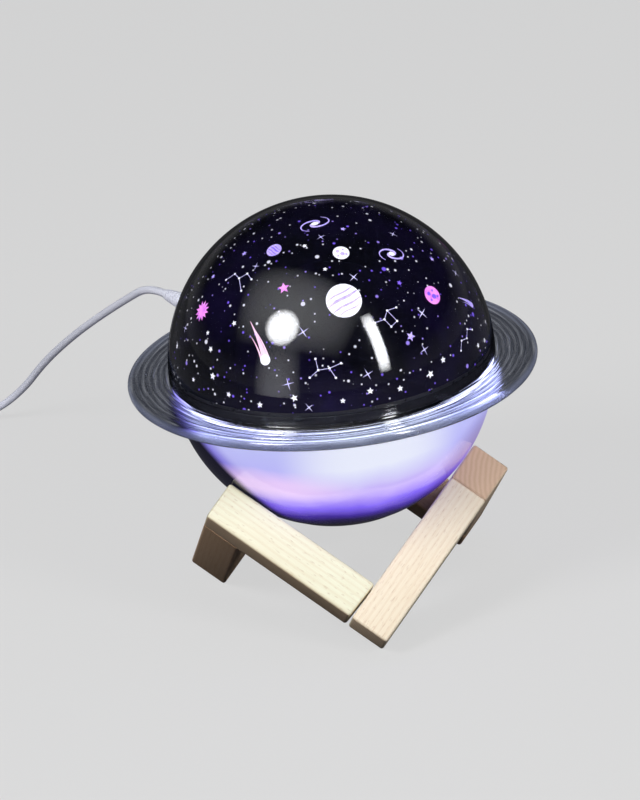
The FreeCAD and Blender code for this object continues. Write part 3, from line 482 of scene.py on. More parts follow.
def fade_face(lamp, form, soft):
    """Lets a lamp's face fade towards its edges."""
    lamp.data.use_nodes = True
    tree = lamp.data.node_tree
    on_face = tree.nodes.new("ShaderNodeNewGeometry").outputs["Parametric"]
    across = node_in(tree, "SeparateXYZ", Vector=on_face)
    sides = []
    for way in ("X", "Y"):
        rest = reckon(tree, "SUBTRACT", 1.0, across.outputs[way])
        sides.append(reckon(tree, "MULTIPLY", across.outputs[way], rest))
    if form == "DISK":
        sum_at_rim = 0.25
        from_rim = reckon(tree, "SUBTRACT", reckon(tree, "ADD", *sides), sum_at_rim)
        steep = reckon(tree, "MULTIPLY", from_rim, soft / sum_at_rim)
        fade = reckon(tree, "MINIMUM", reckon(tree, "MAXIMUM", steep, 0.0), 1.0)
    else:
        edges = [reckon(tree, "MINIMUM", reckon(tree, "MULTIPLY", side, soft), 1.0) for side in sides]
        fade = reckon(tree, "MULTIPLY", *edges)
    tree.links.new(fade, tree.nodes["Emission"].inputs["Strength"])


def studio_lamp(name, turn, height, away, form, width, tall, brightness, soft, only_mirrored=False):
    """An area lamp that looks at the globe. Its power follows from how bright its face is. A
    mirrored one is a card that only polish shows."""
    clear_bench()
    bpy.ops.object.light_add(type="AREA", location=globe_centre + direction(turn, height) * away)
    lamp = bpy.context.object
    lamp.name = name
    lamp.data.shape = form
    lamp.data.size = width
    if form == "RECTANGLE":
        lamp.data.size_y = tall
    face = math.pi * (width / 2) ** 2 if form == "DISK" else width * tall
    lamp.data.energy = math.pi * face * brightness
    lamp.rotation_euler = (globe_centre - lamp.location).to_track_quat("-Z", "Y").to_euler()
    lamp.visible_camera = False
    lamp.visible_diffuse = not only_mirrored
    fade_face(lamp, form, soft)
    print(name, "power", round(lamp.data.energy, 2), "W")


studio_lamp("round_softbox", turn=-141, height=41, away=1.6, form="DISK", width=0.70, tall=0.70,
            brightness=24.0, soft=1.2)
studio_lamp("tall_strip", turn=-62, height=26, away=1.7, form="RECTANGLE", width=0.27, tall=1.25,
            brightness=27.0, soft=5)
studio_lamp("grey_screen", turn=-134, height=55, away=1.75, form="RECTANGLE", width=3.2, tall=1.9,
            brightness=1.25, soft=4, only_mirrored=True)
studio_lamp("lower_panel", turn=-138, height=4, away=1.65, form="RECTANGLE", width=1.0, tall=1.9,
            brightness=1.2, soft=4, only_mirrored=True)

# %% [markdown]
# ## How a finish is made
#
# Each finish starts from one surface shader, with its fixed values on its own sockets. Then it
# gets what a real surface has at close range: slow drifts of colour, fine unevenness in its
# gloss, and a little height. All of it reads the piece's own coordinates in metres, so a
# scale of 1000 is a pattern about a millimetre across.


# %% Finish tools
noise_low, noise_high = 0.3, 0.7


def new_finish(name, colour, roughness, **fixed):
    """A new material with one surface shader, whose fixed sockets are given by name."""
    finish = bpy.data.materials.new(name)
    finish.use_nodes = True
    shader = finish.node_tree.nodes["Principled BSDF"]
    shader.inputs["Base Color"].default_value = (*colour, 1)
    shader.inputs["Roughness"].default_value = roughness
    for socket, value in fixed.items():
        shader.inputs[socket.replace("_", " ")].default_value = value
    finish.diffuse_color = (*colour, 1)
    return finish, finish.node_tree, shader


def own_place(tree, stretch=(1, 1, 1), turn=(0, 0, 0), shift=(0, 0, 0), kind="POINT"):
    """A point's place on the piece, which may be stretched, turned or shifted first."""
    place = tree.nodes.new("ShaderNodeTexCoord")
    mapping = tree.nodes.new("ShaderNodeMapping")
    mapping.vector_type = kind
    mapping.inputs["Location"].default_value = shift
    mapping.inputs["Rotation"].default_value = turn
    mapping.inputs["Scale"].default_value = stretch
    tree.links.new(place.outputs["Object"], mapping.inputs["Vector"])
    return mapping.outputs[0]


def clouds(tree, place, scale, detail, rough=0.55):
    """Cloudy noise between 0 and 1."""
    made = node_in(tree, "TexNoise", Vector=place, Scale=scale, Detail=detail, Roughness=rough)
    return made.outputs["Fac"]


def bands(tree, place, scale, form="BANDS", axis="X", distortion=0.0, detail=2.0, detail_scale=1.0):
    """Straight bands or round rings, between 0 and 1."""
    made = node_in(tree, "TexWave", Vector=place, Scale=scale, Distortion=distortion, Detail=detail,
                   Detail_Scale=detail_scale)
    made.wave_type = form
    if form == "BANDS":
        made.bands_direction = axis
    else:
        made.rings_direction = axis
    return made.outputs["Fac"]


def gloss_by(tree, shader, pattern, low, high):
    """Uneven gloss: a pattern moves the roughness between two values."""
    tree.links.new(span(tree, pattern, noise_low, noise_high, low, high), shader.inputs["Roughness"])


def raise_by(tree, shader, height, depth, strength):
    """A little height, which changes only how light falls on the surface."""
    made = node_in(tree, "Bump", Strength=strength, Distance=depth, Height=height)
    tree.links.new(made.outputs[0], shader.inputs["Normal"])
    return made


def moulded(name, colour, roughness, drift, texture=1400, depth=0.04 * MM, **fixed):
    """Moulded plastic: a slow drift of colour, a fine spark-eroded texture, uneven gloss."""
    finish, tree, shader = new_finish(name, colour, roughness, **fixed)
    place = own_place(tree)
    slow = clouds(tree, place, 45, 3)
    uneven = clouds(tree, place, 320, 3)
    fine = clouds(tree, place, texture, 2)
    darker = tuple(c * (1 - drift) for c in colour)
    lighter = tuple(min(1, c * (1 + drift)) for c in colour)
    tree.links.new(steps_of(tree, slow, [(0.35, darker), (0.65, lighter)]), shader.inputs["Base Color"])
    gloss_by(tree, shader, uneven, roughness * 0.85, min(1, roughness * 1.2))
    raise_by(tree, shader, fine, depth, 0.5)
    return finish


def dress(piece, finish):
    """Gives every slot of a piece this finish."""
    if not piece.data.materials:
        piece.data.materials.append(finish)
    for slot in range(len(piece.data.materials)):
        piece.data.materials[slot] = finish


print("finish tools ready")

# %% [markdown]
# ## The wooden cradle
#
# The cradle is six square bars of beech, twenty millimetres thick. They are glued in pairs at a
# right angle, like edges of a cube that stands on its corner, so that the globe rests in the
# hollow. All bars could be turned by hand, but the cube's own three directions place them
# without any fitting.

# %% The bars' own directions
bar = 20 * MM
bar_long = 84 * MM
flat_part, up_part = math.sqrt(2 / 3), math.sqrt(1 / 3)
cube_axes = []
for a in (-90, 150, 30):
    cube_axes.append(Vector((flat_part * math.cos(math.radians(a)),
                             flat_part * math.sin(math.radians(a)), up_part)))
cube_drop = Vector((0, 0, 49.522 * MM))


def cube_corner(first, along, across):
    """A bar's corner, measured from the cube's lowest point along two of its edges."""
    return cube_axes[first] * along + cube_axes[(first + 1) % 3] * across - cube_drop


def bar_place(corner, x, y, z):
    """A place given by its corner and its three directions."""
    place = Matrix.Identity(4)
    for column, way in enumerate((x, y, z, corner)):
        for row in range(3):
            place[row][column] = way[row]
    return place


print("cube axes", [[round(v, 3) for v in axis] for axis in cube_axes])

# %% [markdown]
# Beech shows fine dark flecks along its length and soft year rings on its sawn ends. The rings
# are circles about the heart of the tree, which lies outside the bar, so each bar gets the same
# rings in its own direction and from another part of the trunk. The bars' tones, from pale to
# brown, are partly those of different boards and partly painted light and shade: the paler tones
# are on the bars that are lit most, the brown one on two shaded legs, and painted shade makes
# the shaded face of the left rail browner than the rest of its bar.

# %% Beech
# the pale and light tones carry painted light on the bars lit most, the brown one painted shade
pale_beech_painted_light, light_beech_painted_light = (0.86, 0.85, 0.65), (0.88, 0.78, 0.61)
warm_beech, brown_beech_painted_shade = (0.85, 0.68, 0.52), (0.58, 0.40, 0.26)
sawn_gap, sawn_angle = 0.3 * MM, math.radians(3)


def beech(name, place, heart, base, sawn, shaded_face_tone=None):
    """Wood whose grain runs along the bar's first direction."""
    finish, tree, shader = new_finish(name, base, 0.5, Specular_IOR_Level=0.3)
    along = own_place(tree, kind="TEXTURE", shift=place.to_translation(), turn=place.to_euler())

    def tinge(red, green, blue):
        """The base colour, changed a little."""
        return (min(1, red * base[0]), min(1, green * base[1]), min(1, blue * base[2]))

    def drawn_out(stretch, shift=(0, 0, 0)):
        """The bar's own place for a pattern that is longer along the grain."""
        return node_in(tree, "Mapping", Vector=along, Location=shift, Scale=stretch).outputs[0]

    rings = bands(tree, drawn_out((0.10, 1, 1), heart), 130, "RINGS", "X", distortion=2.2, detail=4,
                  detail_scale=1.7)
    fibre = clouds(tree, drawn_out((60, 1700, 1700)), 1.0, 5, 0.6)
    fleck = span(tree, clouds(tree, drawn_out((240, 1700, 1100)), 1.0, 2, 0.5), 0.60, 0.70)
    year_tones = [(0.0, tinge(0.88, 0.80, 0.72)), (0.45, base), (1.0, tinge(1.03, 1.04, 1.06))]
    tinted = blend_of(tree, 0.40, base, steps_of(tree, rings, year_tones))
    tinted = blend_of(tree, span(tree, fibre, 0.35, 0.7, 0.0, 0.30), tinted, tinge(0.84, 0.75, 0.66))
    tinted = blend_of(tree, reckon(tree, "MULTIPLY", fleck, 0.5), tinted, tinge(0.62, 0.46, 0.36))
    slow = clouds(tree, own_place(tree), 28, 3)
    tinted = blend_of(tree, span(tree, slow, 0.4, 0.75, 0.0, 0.25), tinted, tinge(0.90, 0.78, 0.68))
    apart = node_in(tree, "SeparateXYZ", Vector=along)
    skew = math.tan(sawn_angle) if sawn else 0.0
    near_end = reckon(tree, "SUBTRACT", apart.outputs["X"], sawn_gap * sawn + bar * skew)
    near_end = reckon(tree, "ADD", near_end, reckon(tree, "MULTIPLY", apart.outputs["Z"], skew))
    far_end = reckon(tree, "SUBTRACT", bar_long, apart.outputs["X"])
    from_end = reckon(tree, "MINIMUM", near_end, far_end)
    end_tones = [(0.0, tinge(0.77, 0.63, 0.53)), (0.5, tinge(0.82, 0.69, 0.60)),
                 (1.0, tinge(0.86, 0.74, 0.65))]
    at_end = span(tree, from_end, 0.5 * MM, 0.1 * MM, 0.0, 0.9)
    tinted = blend_of(tree, at_end, tinted, steps_of(tree, rings, end_tones))
    # painted shade: one shaded face of a bar is tinted browner
    if shaded_face_tone:
        at_shaded_face = span(tree, apart.outputs["Z"], 0.7 * MM, 0.1 * MM, 0.0, 0.9)
        tinted = blend_of(tree, at_shaded_face, tinted, shaded_face_tone)
    tree.links.new(tinted, shader.inputs["Base Color"])
    gloss_by(tree, shader, fibre, 0.42, 0.62)
    raised = reckon(tree, "MULTIPLY", fibre, 0.6)
    height = reckon(tree, "SUBTRACT", raised, reckon(tree, "MULTIPLY", fleck, 0.5))
    raise_by(tree, shader, height, 0.12 * MM, 0.5)
    return finish


print("beech ready")

# %% [markdown]
# Each bar is a block with eased edges. One end of each rail is sawn a few degrees off square,
# which leaves a thin dark wedge where it meets the next pair. The glued end of a leg keeps its
# sharp edges, so that no wide groove shows at the joint. The edges could be eased by a live
# modifier, but an operator lets them be chosen one by one.

# %% One bar, shaped as at the bench
easing = 1.4 * MM


def wooden_bar(name, place, body, sawn, heart, base, shaded_face_tone=None):
    """A block, its sawn end moved off square and its edges eased, then laid at its place."""
    clear_bench()
    bpy.ops.mesh.primitive_cube_add(size=1, location=(bar_long / 2, bar / 2, bar / 2),
                                    scale=(bar_long, bar, bar))
    piece = name_piece(name)
    settle(piece)
    mesh = shape(piece)
    if sawn:
        for point in mesh.verts:
            if point.co.x < bar_long / 2:
                point.co.x = sawn_gap + (bar - point.co.z) * math.tan(sawn_angle)
    bmesh.update_edit_mesh(piece.data)

    def eased(edge):
        return sawn or not all(abs(v.co.x - bar_long) < 0.01 * MM for v in edge.verts)

    chosen = choose(mesh, "edges", eased)
    bpy.ops.mesh.bevel(offset=easing, segments=5, profile=0.5, affect="EDGES")
    bpy.ops.object.mode_set(mode="OBJECT")
    settle(piece, place)
    round_off(piece, 40)
    dress(piece, beech(name + "_beech", place, heart, base, sawn, shaded_face_tone))
    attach(piece, body)
    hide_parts(name)
    print(name, "with", chosen, "eased edges")


# each side: rail tone, tone of the rail's shaded face, leg tone; paler is painted light, brown painted shade
bar_woods = (("left", pale_beech_painted_light, brown_beech_painted_shade, brown_beech_painted_shade), ("back", warm_beech, None, brown_beech_painted_shade),
             ("right", warm_beech, None, light_beech_painted_light))
for i, (side, rail_wood, rail_shaded_face, leg_wood) in enumerate(bar_woods):
    one, two, three = cube_axes[i], cube_axes[(i + 1) % 3], cube_axes[(i + 2) % 3]
    rail_at = bar_place(cube_corner(i, bar_long, bar), two, one, three)
    leg_at = bar_place(cube_corner((i + 1) % 3, bar_long, 0), one, three, two)
    rail_heart = (0.02 * i, -0.034, 0.012 + 0.01 * i)
    leg_heart = (0.05 + 0.03 * i, 0.016 + 0.008 * i, -0.042)
    wooden_bar(side + "_rail", rail_at, side + "_stand", True, rail_heart, rail_wood, rail_shaded_face)
    wooden_bar(side + "_leg", leg_at, side + "_stand", False, leg_heart, leg_wood)

# %% [markdown]
# ## The glowing bowl
#
# The lower half of the globe is a thin milky bowl. A ring of lights inside its mouth fills it
# with a lavender glow, which is nearly white at the top, turns violet towards the foot and dies
# away where the foot hides it. A painted shade leaves one patch of the wall dark, low at the
# side, and painted shade dulls the glow where a rail touches the bowl. It could be turned from a
# drawn section, but a sphere cut by two level planes and given its wall is as round and quicker.


# %% The bowl's shape
def ball_slice(name, radius, centre_height, low, high, wall, skirt=0.0):
    """A slice of a hollow ball. The outer face keeps its radius and the wall goes inwards.
    The heights are measured from the globe's centre. A skirt goes straight down."""
    clear_bench()
    bpy.ops.mesh.primitive_uv_sphere_add(segments=200, ring_count=120, radius=radius,
                                         location=(0, 0, globe_centre.z + centre_height))
    piece = name_piece(name)
    settle(piece)
    shape(piece)
    if high is not None:
        bpy.ops.mesh.select_all(action="SELECT")
        bpy.ops.mesh.bisect(plane_co=(0, 0, globe_centre.z + high), plane_no=(0, 0, 1), clear_outer=True)
    bpy.ops.mesh.select_all(action="SELECT")
    bpy.ops.mesh.bisect(plane_co=(0, 0, globe_centre.z + low), plane_no=(0, 0, 1), clear_inner=True)
    if skirt:
        mesh = bmesh.from_edit_mesh(piece.data)
        choose(mesh, "edges", lambda edge: edge.is_boundary)
        bpy.ops.mesh.extrude_region_move(TRANSFORM_OT_translate={"value": (0, 0, -skirt)})
    bpy.ops.mesh.select_all(action="SELECT")
    bpy.ops.mesh.normals_make_consistent(inside=False)
    bpy.ops.object.mode_set(mode="OBJECT")
    thick = piece.modifiers.new("wall", "SOLIDIFY")
    thick.thickness = wall
    thick.offset = -1
    thick.use_even_offset = True
    finish_modifiers(piece)
    round_off(piece, 40)
    report(piece)
    return piece


bowl_reach, bowl_wall = 77.5 * MM, 2.2 * MM
bowl_foot, bowl_mouth = -66.5 * MM, -3.0 * MM
bowl = ball_slice("glowing_bowl", bowl_reach, centre_height=0, low=bowl_foot, high=bowl_mouth, wall=bowl_wall)
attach(bowl, "lamp")
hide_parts("bowl_shell")

# %% [markdown]
# A real glow could be had from lights inside the bowl, but it would take long to calculate and
# is hard to steer. It is painted instead: first by height, from the dark foot to the mouth.

# %% The bowl's glow
# the darker wall colour goes under the painted shade patch
lit_wall, painted_shade_wall = (0.05, 0.04, 0.10), (0.004, 0.003, 0.008)
bowl_glow, tree, shader = new_finish("milky_glow", lit_wall, 0.10, Specular_IOR_Level=0.5, IOR=1.5,
                                     Emission_Strength=1.0)
place = own_place(tree)
apart = node_in(tree, "SeparateXYZ", Vector=place)
height = span(tree, apart.outputs["Z"], globe_centre.z - 70 * MM, globe_centre.z)
soft = clouds(tree, place, 22, 3)
height = reckon(tree, "ADD", height, span(tree, soft, noise_low, noise_high, -0.03, 0.03))
glow = steps_of(tree, height, [
    (0.060, (0.001, 0.001, 0.004)), (0.140, (0.010, 0.004, 0.06)), (0.205, (0.05, 0.02, 0.32)),
    (0.300, (0.22, 0.13, 0.93)), (0.380, (0.41, 0.29, 0.97)), (0.450, (0.58, 0.46, 0.96)),
    (0.520, (0.60, 0.52, 0.96)), (0.650, (0.50, 0.49, 0.95)), (0.820, (0.53, 0.55, 0.95)),
    (0.930, (0.60, 0.62, 0.95))])
print("glow painted by height")

# %% [markdown]
# The direction from the globe's centre says where a point lies on the bowl. Painted light gives
# a rose belt facing the front left and a nearly white one facing the front. The painted dark
# patch has a painted violet edge, and painted shade dulls the glow where the bowl rests on the
# three rails.


# %% The glow by direction
def towards(turn, height, low, high, to_low=0.0, to_high=1.0):
    """How far a point of the bowl faces a direction, between two limits."""
    steps = []
    for operation, start in (("SUBTRACT", place), ("NORMALIZE", None), ("DOT_PRODUCT", None)):
        step = tree.nodes.new("ShaderNodeVectorMath")
        step.operation = operation
        tree.links.new(start or steps[-1].outputs[0], step.inputs[0])
        steps.append(step)
    steps[0].inputs[1].default_value = globe_centre
    steps[2].inputs[1].default_value = direction(turn, height)
    return span(tree, steps[2].outputs["Value"], low, high, to_low, to_high, "SMOOTHSTEP")


# a painted shade patch, low at the side, with a painted violet fringe round it
painted_shade_turn, painted_shade_height = 175, -40
painted_shade_fringe = reckon(tree, "MULTIPLY", towards(painted_shade_turn, painted_shade_height, 0.70, 0.80, 0.0, 0.7),
                    span(tree, height, 0.20, 0.34))
glow = blend_of(tree, painted_shade_fringe, glow, (0.10, 0.05, 0.62))
# painted light: a rose belt towards the front left and a nearly white belt towards the front
painted_rose_belt = reckon(tree, "MULTIPLY", span(tree, height, 0.37, 0.48), span(tree, height, 0.66, 0.54))
painted_rose = reckon(tree, "MULTIPLY", towards(-134, -27, 0.78, 0.99, 0.0, 0.92), painted_rose_belt)
glow = blend_of(tree, painted_rose, glow, (0.84, 0.62, 0.97))
painted_white_belt = span(tree, height, 0.48, 0.66)
white = reckon(tree, "MULTIPLY", towards(-86, -16, 0.80, 1.0, 0.0, 0.95), painted_white_belt)
glow = blend_of(tree, white, glow, (0.84, 0.88, 0.98))
# painted shade dulls the glow where each rail touches the bowl
for rail_turn, rail_shade_share in ((-30, 0.55), (-150, 0.15), (90, 0.15)):
    painted_rail_shade = towards(rail_turn, -35.3, 0.90, 1.0, 0.0, rail_shade_share)
    glow = blend_of(tree, painted_rail_shade, glow, (0.06, 0.025, 0.16))
# the painted shade patch darkens both the glow and the wall
painted_shade_patch = towards(painted_shade_turn, painted_shade_height, 0.775, 0.835)
glow = blend_of(tree, painted_shade_patch, glow, (0.002, 0.0015, 0.010))
tree.links.new(blend_of(tree, painted_shade_patch, lit_wall, painted_shade_wall), shader.inputs["Base Color"])
tree.links.new(glow, shader.inputs["Emission Color"])
print("glow painted by direction")

# %% [markdown]
# Through the tinted ring the bowl is seen at its real brightness, which is far more than the
# eye or a camera takes from it directly, so rays that have passed through glass find it
# brighter.

# %% The glow's strength
seen_directly = 0.95
glass_at_mouth, glass_below = 6.0, 17.0
seen_through_glass = span(tree, height, 0.97, 0.80, glass_at_mouth, glass_below)
more = reckon(tree, "SUBTRACT", seen_through_glass, seen_directly)
more = reckon(tree, "MULTIPLY", more, reckon(tree, "SUBTRACT", 1.0, painted_shade_fringe))
more = reckon(tree, "MULTIPLY", clear_way(tree), more)
tree.links.new(reckon(tree, "ADD", seen_directly, more), shader.inputs["Emission Strength"])
gloss_by(tree, shader, clouds(tree, place, 260, 3), 0.07, 0.13)
raise_by(tree, shader, clouds(tree, place, 900, 2), 0.02 * MM, 0.3)
dress(bowl, bowl_glow)
print("bowl glows")

# %% [markdown]
# ## The planet's ring
#
# The ring is one moulding of smoky clear acrylic with fine grooves turned in its top and a low
# bead near the dome. Its section is drawn once, with every groove, and spun right round. The
# grooves could be painted, but real ones bend the light as the ring is looked at from other
# sides.

# %% The ring's section
ring_inner, ring_outer = 72.6, 98.5
ring_top, ring_bottom = 2.0, -3.0
rim_round, rim_middle, rim_half = 1.9, -0.5, 2.45
rim_start = ring_outer - rim_round
ring_section = [(ring_inner, ring_bottom), (rim_start, ring_bottom)]
for i in range(1, 8):
    angle = math.radians(-90 + 180 * i / 8)
    ring_section.append((rim_start + rim_round * math.cos(angle), rim_middle + rim_half * math.sin(angle)))
ring_section.append((rim_start, rim_middle + rim_half))
grooves = [(95.6, 0.35, 0.5), (93.8, 0.8, 0.75), (92.1, 0.35, 0.5), (90.7, 0.30, 0.4), (89.4, 0.8, 0.75),
           (88.1, 0.35, 0.45), (87.0, 0.55, 0.5), (85.3, 0.8, 0.75), (83.6, 0.4, 0.5), (82.4, 0.3, 0.4)]
for middle, deep, half in grooves:
    ring_section += [(middle + half, ring_top), (middle + half * 0.45, ring_top - deep * 0.8),
                     (middle, ring_top - deep), (middle - half * 0.45, ring_top - deep * 0.8),
                     (middle - half, ring_top)]
ring_section += [(80.95, ring_top), (80.7, 2.42), (80.2, 2.58), (79.7, 2.42), (79.45, ring_top),
                 (ring_inner, ring_top)]
ring = turned("planet_ring_clear", in_metres(ring_section, globe_centre.z), steps=224)
print(len(ring_section), "points in the section")

# %% [markdown]
# The plug passes through a slot in the ring. A block of the slot's size is laid at the plug's
# turn and cut out of it.

# %% The slot for the plug
plug_turn = math.radians(115)
slot_middle = 92.3 * MM
clear_bench()
bpy.ops.mesh.primitive_cube_add(size=1, scale=(40 * MM, 11 * MM, 12 * MM))
slot_cutter = name_piece("slot_cutter")
slot_at = Matrix.Translation((0, 0, globe_centre.z)) @ Matrix.Rotation(plug_turn, 4, "Z")
settle(slot_cutter, slot_at @ Matrix.Translation((slot_middle, 0, 0)))
cut_out(ring, slot_cutter)
round_off(ring, 24)
report(ring)
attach(ring, "lamp")
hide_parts("planet_ring")

# %% [markdown]
# Smoked acrylic of this thickness would need a dense volume, which renders slowly. A tint in
# fine turned lines stands for it, and its light and dark lines are painted light and shade that
# deepen the row of light and dark lines that the grooves make; its paler rim is painted light
# too. A thin clear coat carries the gloss, and the rim has a faint painted glow, which stands for
# the light that clear acrylic carries to its edge beside a light.

# %% Smoky acrylic
ring_finish, tree, shader = new_finish("smoky_acrylic", (0.10, 0.11, 0.13), 0.22, IOR=1.055,
                                       Transmission_Weight=1.0, Coat_Weight=1.0, Coat_Roughness=0.06,
                                       Coat_IOR=1.48, Emission_Strength=1.0)
place = own_place(tree)
apart = node_in(tree, "SeparateXYZ", Vector=place)
squares = [reckon(tree, "MULTIPLY", apart.outputs[way], apart.outputs[way]) for way in ("X", "Y")]
reach = reckon(tree, "SQRT", reckon(tree, "ADD", *squares))
wobble = span(tree, clouds(tree, place, 12, 1), noise_low, noise_high, -0.12 * MM, 0.12 * MM)
across = span(tree, reckon(tree, "ADD", reach, wobble), 78 * MM, 99 * MM)
# the tint's light and dark lines are painted light and shade over the grooves, the paler rim painted light
light_line, mid_line, dark_line = (0.44, 0.46, 0.51), (0.12, 0.13, 0.16), (0.045, 0.050, 0.070)
pale_rim_painted_light = (0.34, 0.36, 0.42)
first_line, line_step = 0.02, 0.138
painted_groove_lines = []
for i, strength in enumerate((0.9, 0.5, 1.0, 0.6, 0.9, 0.4, 0.8)):
    start = first_line + i * line_step
    lit = tuple(d + (l - d) * strength for d, l in zip(dark_line, light_line))
    painted_groove_lines += [(start, dark_line), (start + 0.030, lit), (start + 0.055, lit),
                     (start + 0.080, mid_line)]
painted_groove_lines.append((0.985, pale_rim_painted_light))
tint = steps_of(tree, across, painted_groove_lines)
fine_place = node_in(tree, "CombineXYZ", X=reckon(tree, "MULTIPLY", reach, 1300.0),
                     Y=reckon(tree, "MULTIPLY", apart.outputs["Z"], 900.0))
fine_lines = clouds(tree, fine_place.outputs[0], 1.0, 2, 0.6)
tint = blend_of(tree, span(tree, fine_lines, 0.35, 0.65, 0.0, 0.35), tint, mid_line)
tree.links.new(tint, shader.inputs["Base Color"])
# a faint painted glow on the rim
painted_rim_glow = steps_of(tree, across, [(0.90, (0.0, 0.0, 0.0)), (0.97, (0.07, 0.08, 0.13))])
tree.links.new(painted_rim_glow, shader.inputs["Emission Color"])
gloss_by(tree, shader, clouds(tree, place, 80, 3), 0.20, 0.28)
height_of_lines = raise_by(tree, shader, fine_lines, 0.06 * MM, 0.5)
tree.links.new(height_of_lines.outputs[0], shader.inputs["Coat Normal"])
dress(ring, ring_finish)
print("ring dressed")

# %% [markdown]
# ## The two domes
#
# The inner dome is a thin black film, printed with a clear pattern of stars, and it turns with
# its tray. The outer dome is a clear cover that keeps dust and fingers off it. Both are slices
# of a ball with a thin wall, which keeps their highlights smooth.

# %% The domes' shapes
dome_rise = 3.0 * MM
film_reach = 76.3 * MM
film = ball_slice("star_film_dome", film_reach, dome_rise, low=7.6 * MM, high=None, wall=0.8 * MM)
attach(film, "turntable")
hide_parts("film_dome")
cover_reach = 78.5 * MM
cover = ball_slice("clear_cover", cover_reach, dome_rise, low=3.02 * MM, high=None, wall=1.5 * MM,
                   skirt=0.72 * MM)
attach(cover, "dome_cover")
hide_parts("clear_dome")

# %% [markdown]
# The cover is almost without colour where one looks straight through it. Near its outline a
# painted shade darkens the tint by the angle of view, so that its limb looks dark. It throws no
# shadow, because a clear wall lets the light through.

# %% Clear cover
cover.visible_shadow = False
cover_finish, tree, shader = new_finish("clear_cover", (0.90, 0.92, 0.96), 0.0, IOR=1.45,
                                        Transmission_Weight=1.0)
place = own_place(tree)
smears = clouds(tree, place, 120, 4)
tree.links.new(span(tree, smears, 0.35, 0.75, 0.0, 0.02), shader.inputs["Roughness"])
tint = steps_of(tree, clouds(tree, place, 30, 2), [(0.3, (0.86, 0.88, 0.93)), (0.7, (0.92, 0.94, 0.97))])
# painted shade: the tint darkens towards the outline, by the angle of view
edge_on = node_in(tree, "LayerWeight", Blend=0.5).outputs["Facing"]
painted_dark_limb = blend_of(tree, span(tree, edge_on, 0.71, 0.79), tint, (0.012, 0.011, 0.022))
tree.links.new(painted_dark_limb, shader.inputs["Base Color"])
raise_by(tree, shader, clouds(tree, place, 60, 1), 0.02 * MM, 0.25)
dress(cover, cover_finish)
print("cover is clear")

# %% [markdown]
# The film is a deep, glossy black. Its small stars are windows in the print, where the light
# inside shows through: mostly white, some lavender and some blue-violet. Random cells in three
# sizes give the dots, because a real print scatters them without any order. A faint violet
# haze remains where the black is thin.


# %% The film's print
film_finish, tree, shader = new_finish("printed_night_film", (0.002, 0.002, 0.004), 0.10,
                                       Specular_IOR_Level=0.08, Emission_Strength=1.0)
place = own_place(tree)


def star_dots(scale, size, share, soft=0.35):
    """Dots of light where a random cell's heart lies near the film, for a share of the cells."""
    made = node_in(tree, "TexVoronoi", Vector=place, Scale=scale)
    near = span(tree, made.outputs["Distance"], size * (1 - soft), size, 1.0, 0.0)
    chance = node_in(tree, "SeparateColor", Color=made.outputs["Color"])
    kept = reckon(tree, "LESS_THAN", chance.outputs["Red"], share)
    return reckon(tree, "MULTIPLY", near, kept), chance


tiny, tiny_chance = star_dots(300, 0.16, 0.75)
small, small_chance = star_dots(190, 0.15, 0.62)
large, large_chance = star_dots(95, 0.115, 0.55, 0.25)
tints = [(0.0, (0.22, 0.12, 0.95)), (0.30, (0.40, 0.28, 0.98)), (0.45, (0.92, 0.90, 1.0)),
         (1.0, (0.98, 0.97, 1.0))]
light = steps_of(tree, clouds(tree, place, 16, 4, 0.6), [
    (0.44, (0.0, 0.0, 0.0)), (0.66, (0.003, 0.001, 0.015)), (0.85, (0.012, 0.005, 0.07))])
for dots, chance in ((tiny, tiny_chance.outputs["Green"]), (small, small_chance.outputs["Green"]),
                     (large, large_chance.outputs["Blue"])):
    light = blend_of(tree, dots, light, steps_of(tree, chance, tints, "CONSTANT"))
tree.links.new(light, shader.inputs["Emission Color"])
gloss_by(tree, shader, clouds(tree, place, 90, 3), 0.08, 0.16)
raise_by(tree, shader, clouds(tree, place, 25, 1), 0.02 * MM, 0.2)
dress(film, film_finish)
print("film printed with three sizes of star dots")

# %% [markdown]
# ## The larger figures of the sky
#
# The print also has larger figures: striped planets, comets, pitted moons, suns, spirals,
# five-pointed stars, thin four-pointed glints, and star groups joined by lines. Each is drawn
# flat, up to the size of a coin. A picture wrapped round the dome would stretch near its top, so
# each figure is cut finer and bent over the film by itself.
#
# The inks let the light inside through, so they glow, and they are a little patchy.

# %% Inks
def ink(name, colour, second):
    """A glowing ink in two near tones."""
    finish, tree, shader = new_finish(name, tuple(c * 0.3 for c in colour), 0.3, Emission_Strength=1.0,
                                      Specular_IOR_Level=0.2)
    patchy = clouds(tree, own_place(tree), 420, 3)
    tree.links.new(steps_of(tree, patchy, [(0.35, second), (0.62, colour)]), shader.inputs["Emission Color"])
    gloss_by(tree, shader, patchy, 0.25, 0.4)
    return finish


ink_tones = {
    "white": ((0.97, 0.96, 1.0), (0.80, 0.76, 0.98)),
    "lavender": ((0.56, 0.46, 0.97), (0.34, 0.24, 0.90)),
    "magenta": ((0.92, 0.30, 0.86), (0.62, 0.13, 0.74)),
    "violet": ((0.24, 0.13, 0.86), (0.12, 0.05, 0.62)),
    "blush": ((0.97, 0.62, 0.78), (0.90, 0.45, 0.70)),
    "line": ((0.72, 0.68, 1.0), (0.50, 0.44, 0.95)),
}
inks = {name: ink(name + "_light_ink", *tones) for name, tones in ink_tones.items()}
print(len(inks), "inks mixed")

# %% [markdown]
# Three flat shapes make every figure: a disc, a star and a strip of changing width. They are
# drawn in millimetres, and what is printed over the rest is lifted by a hair.


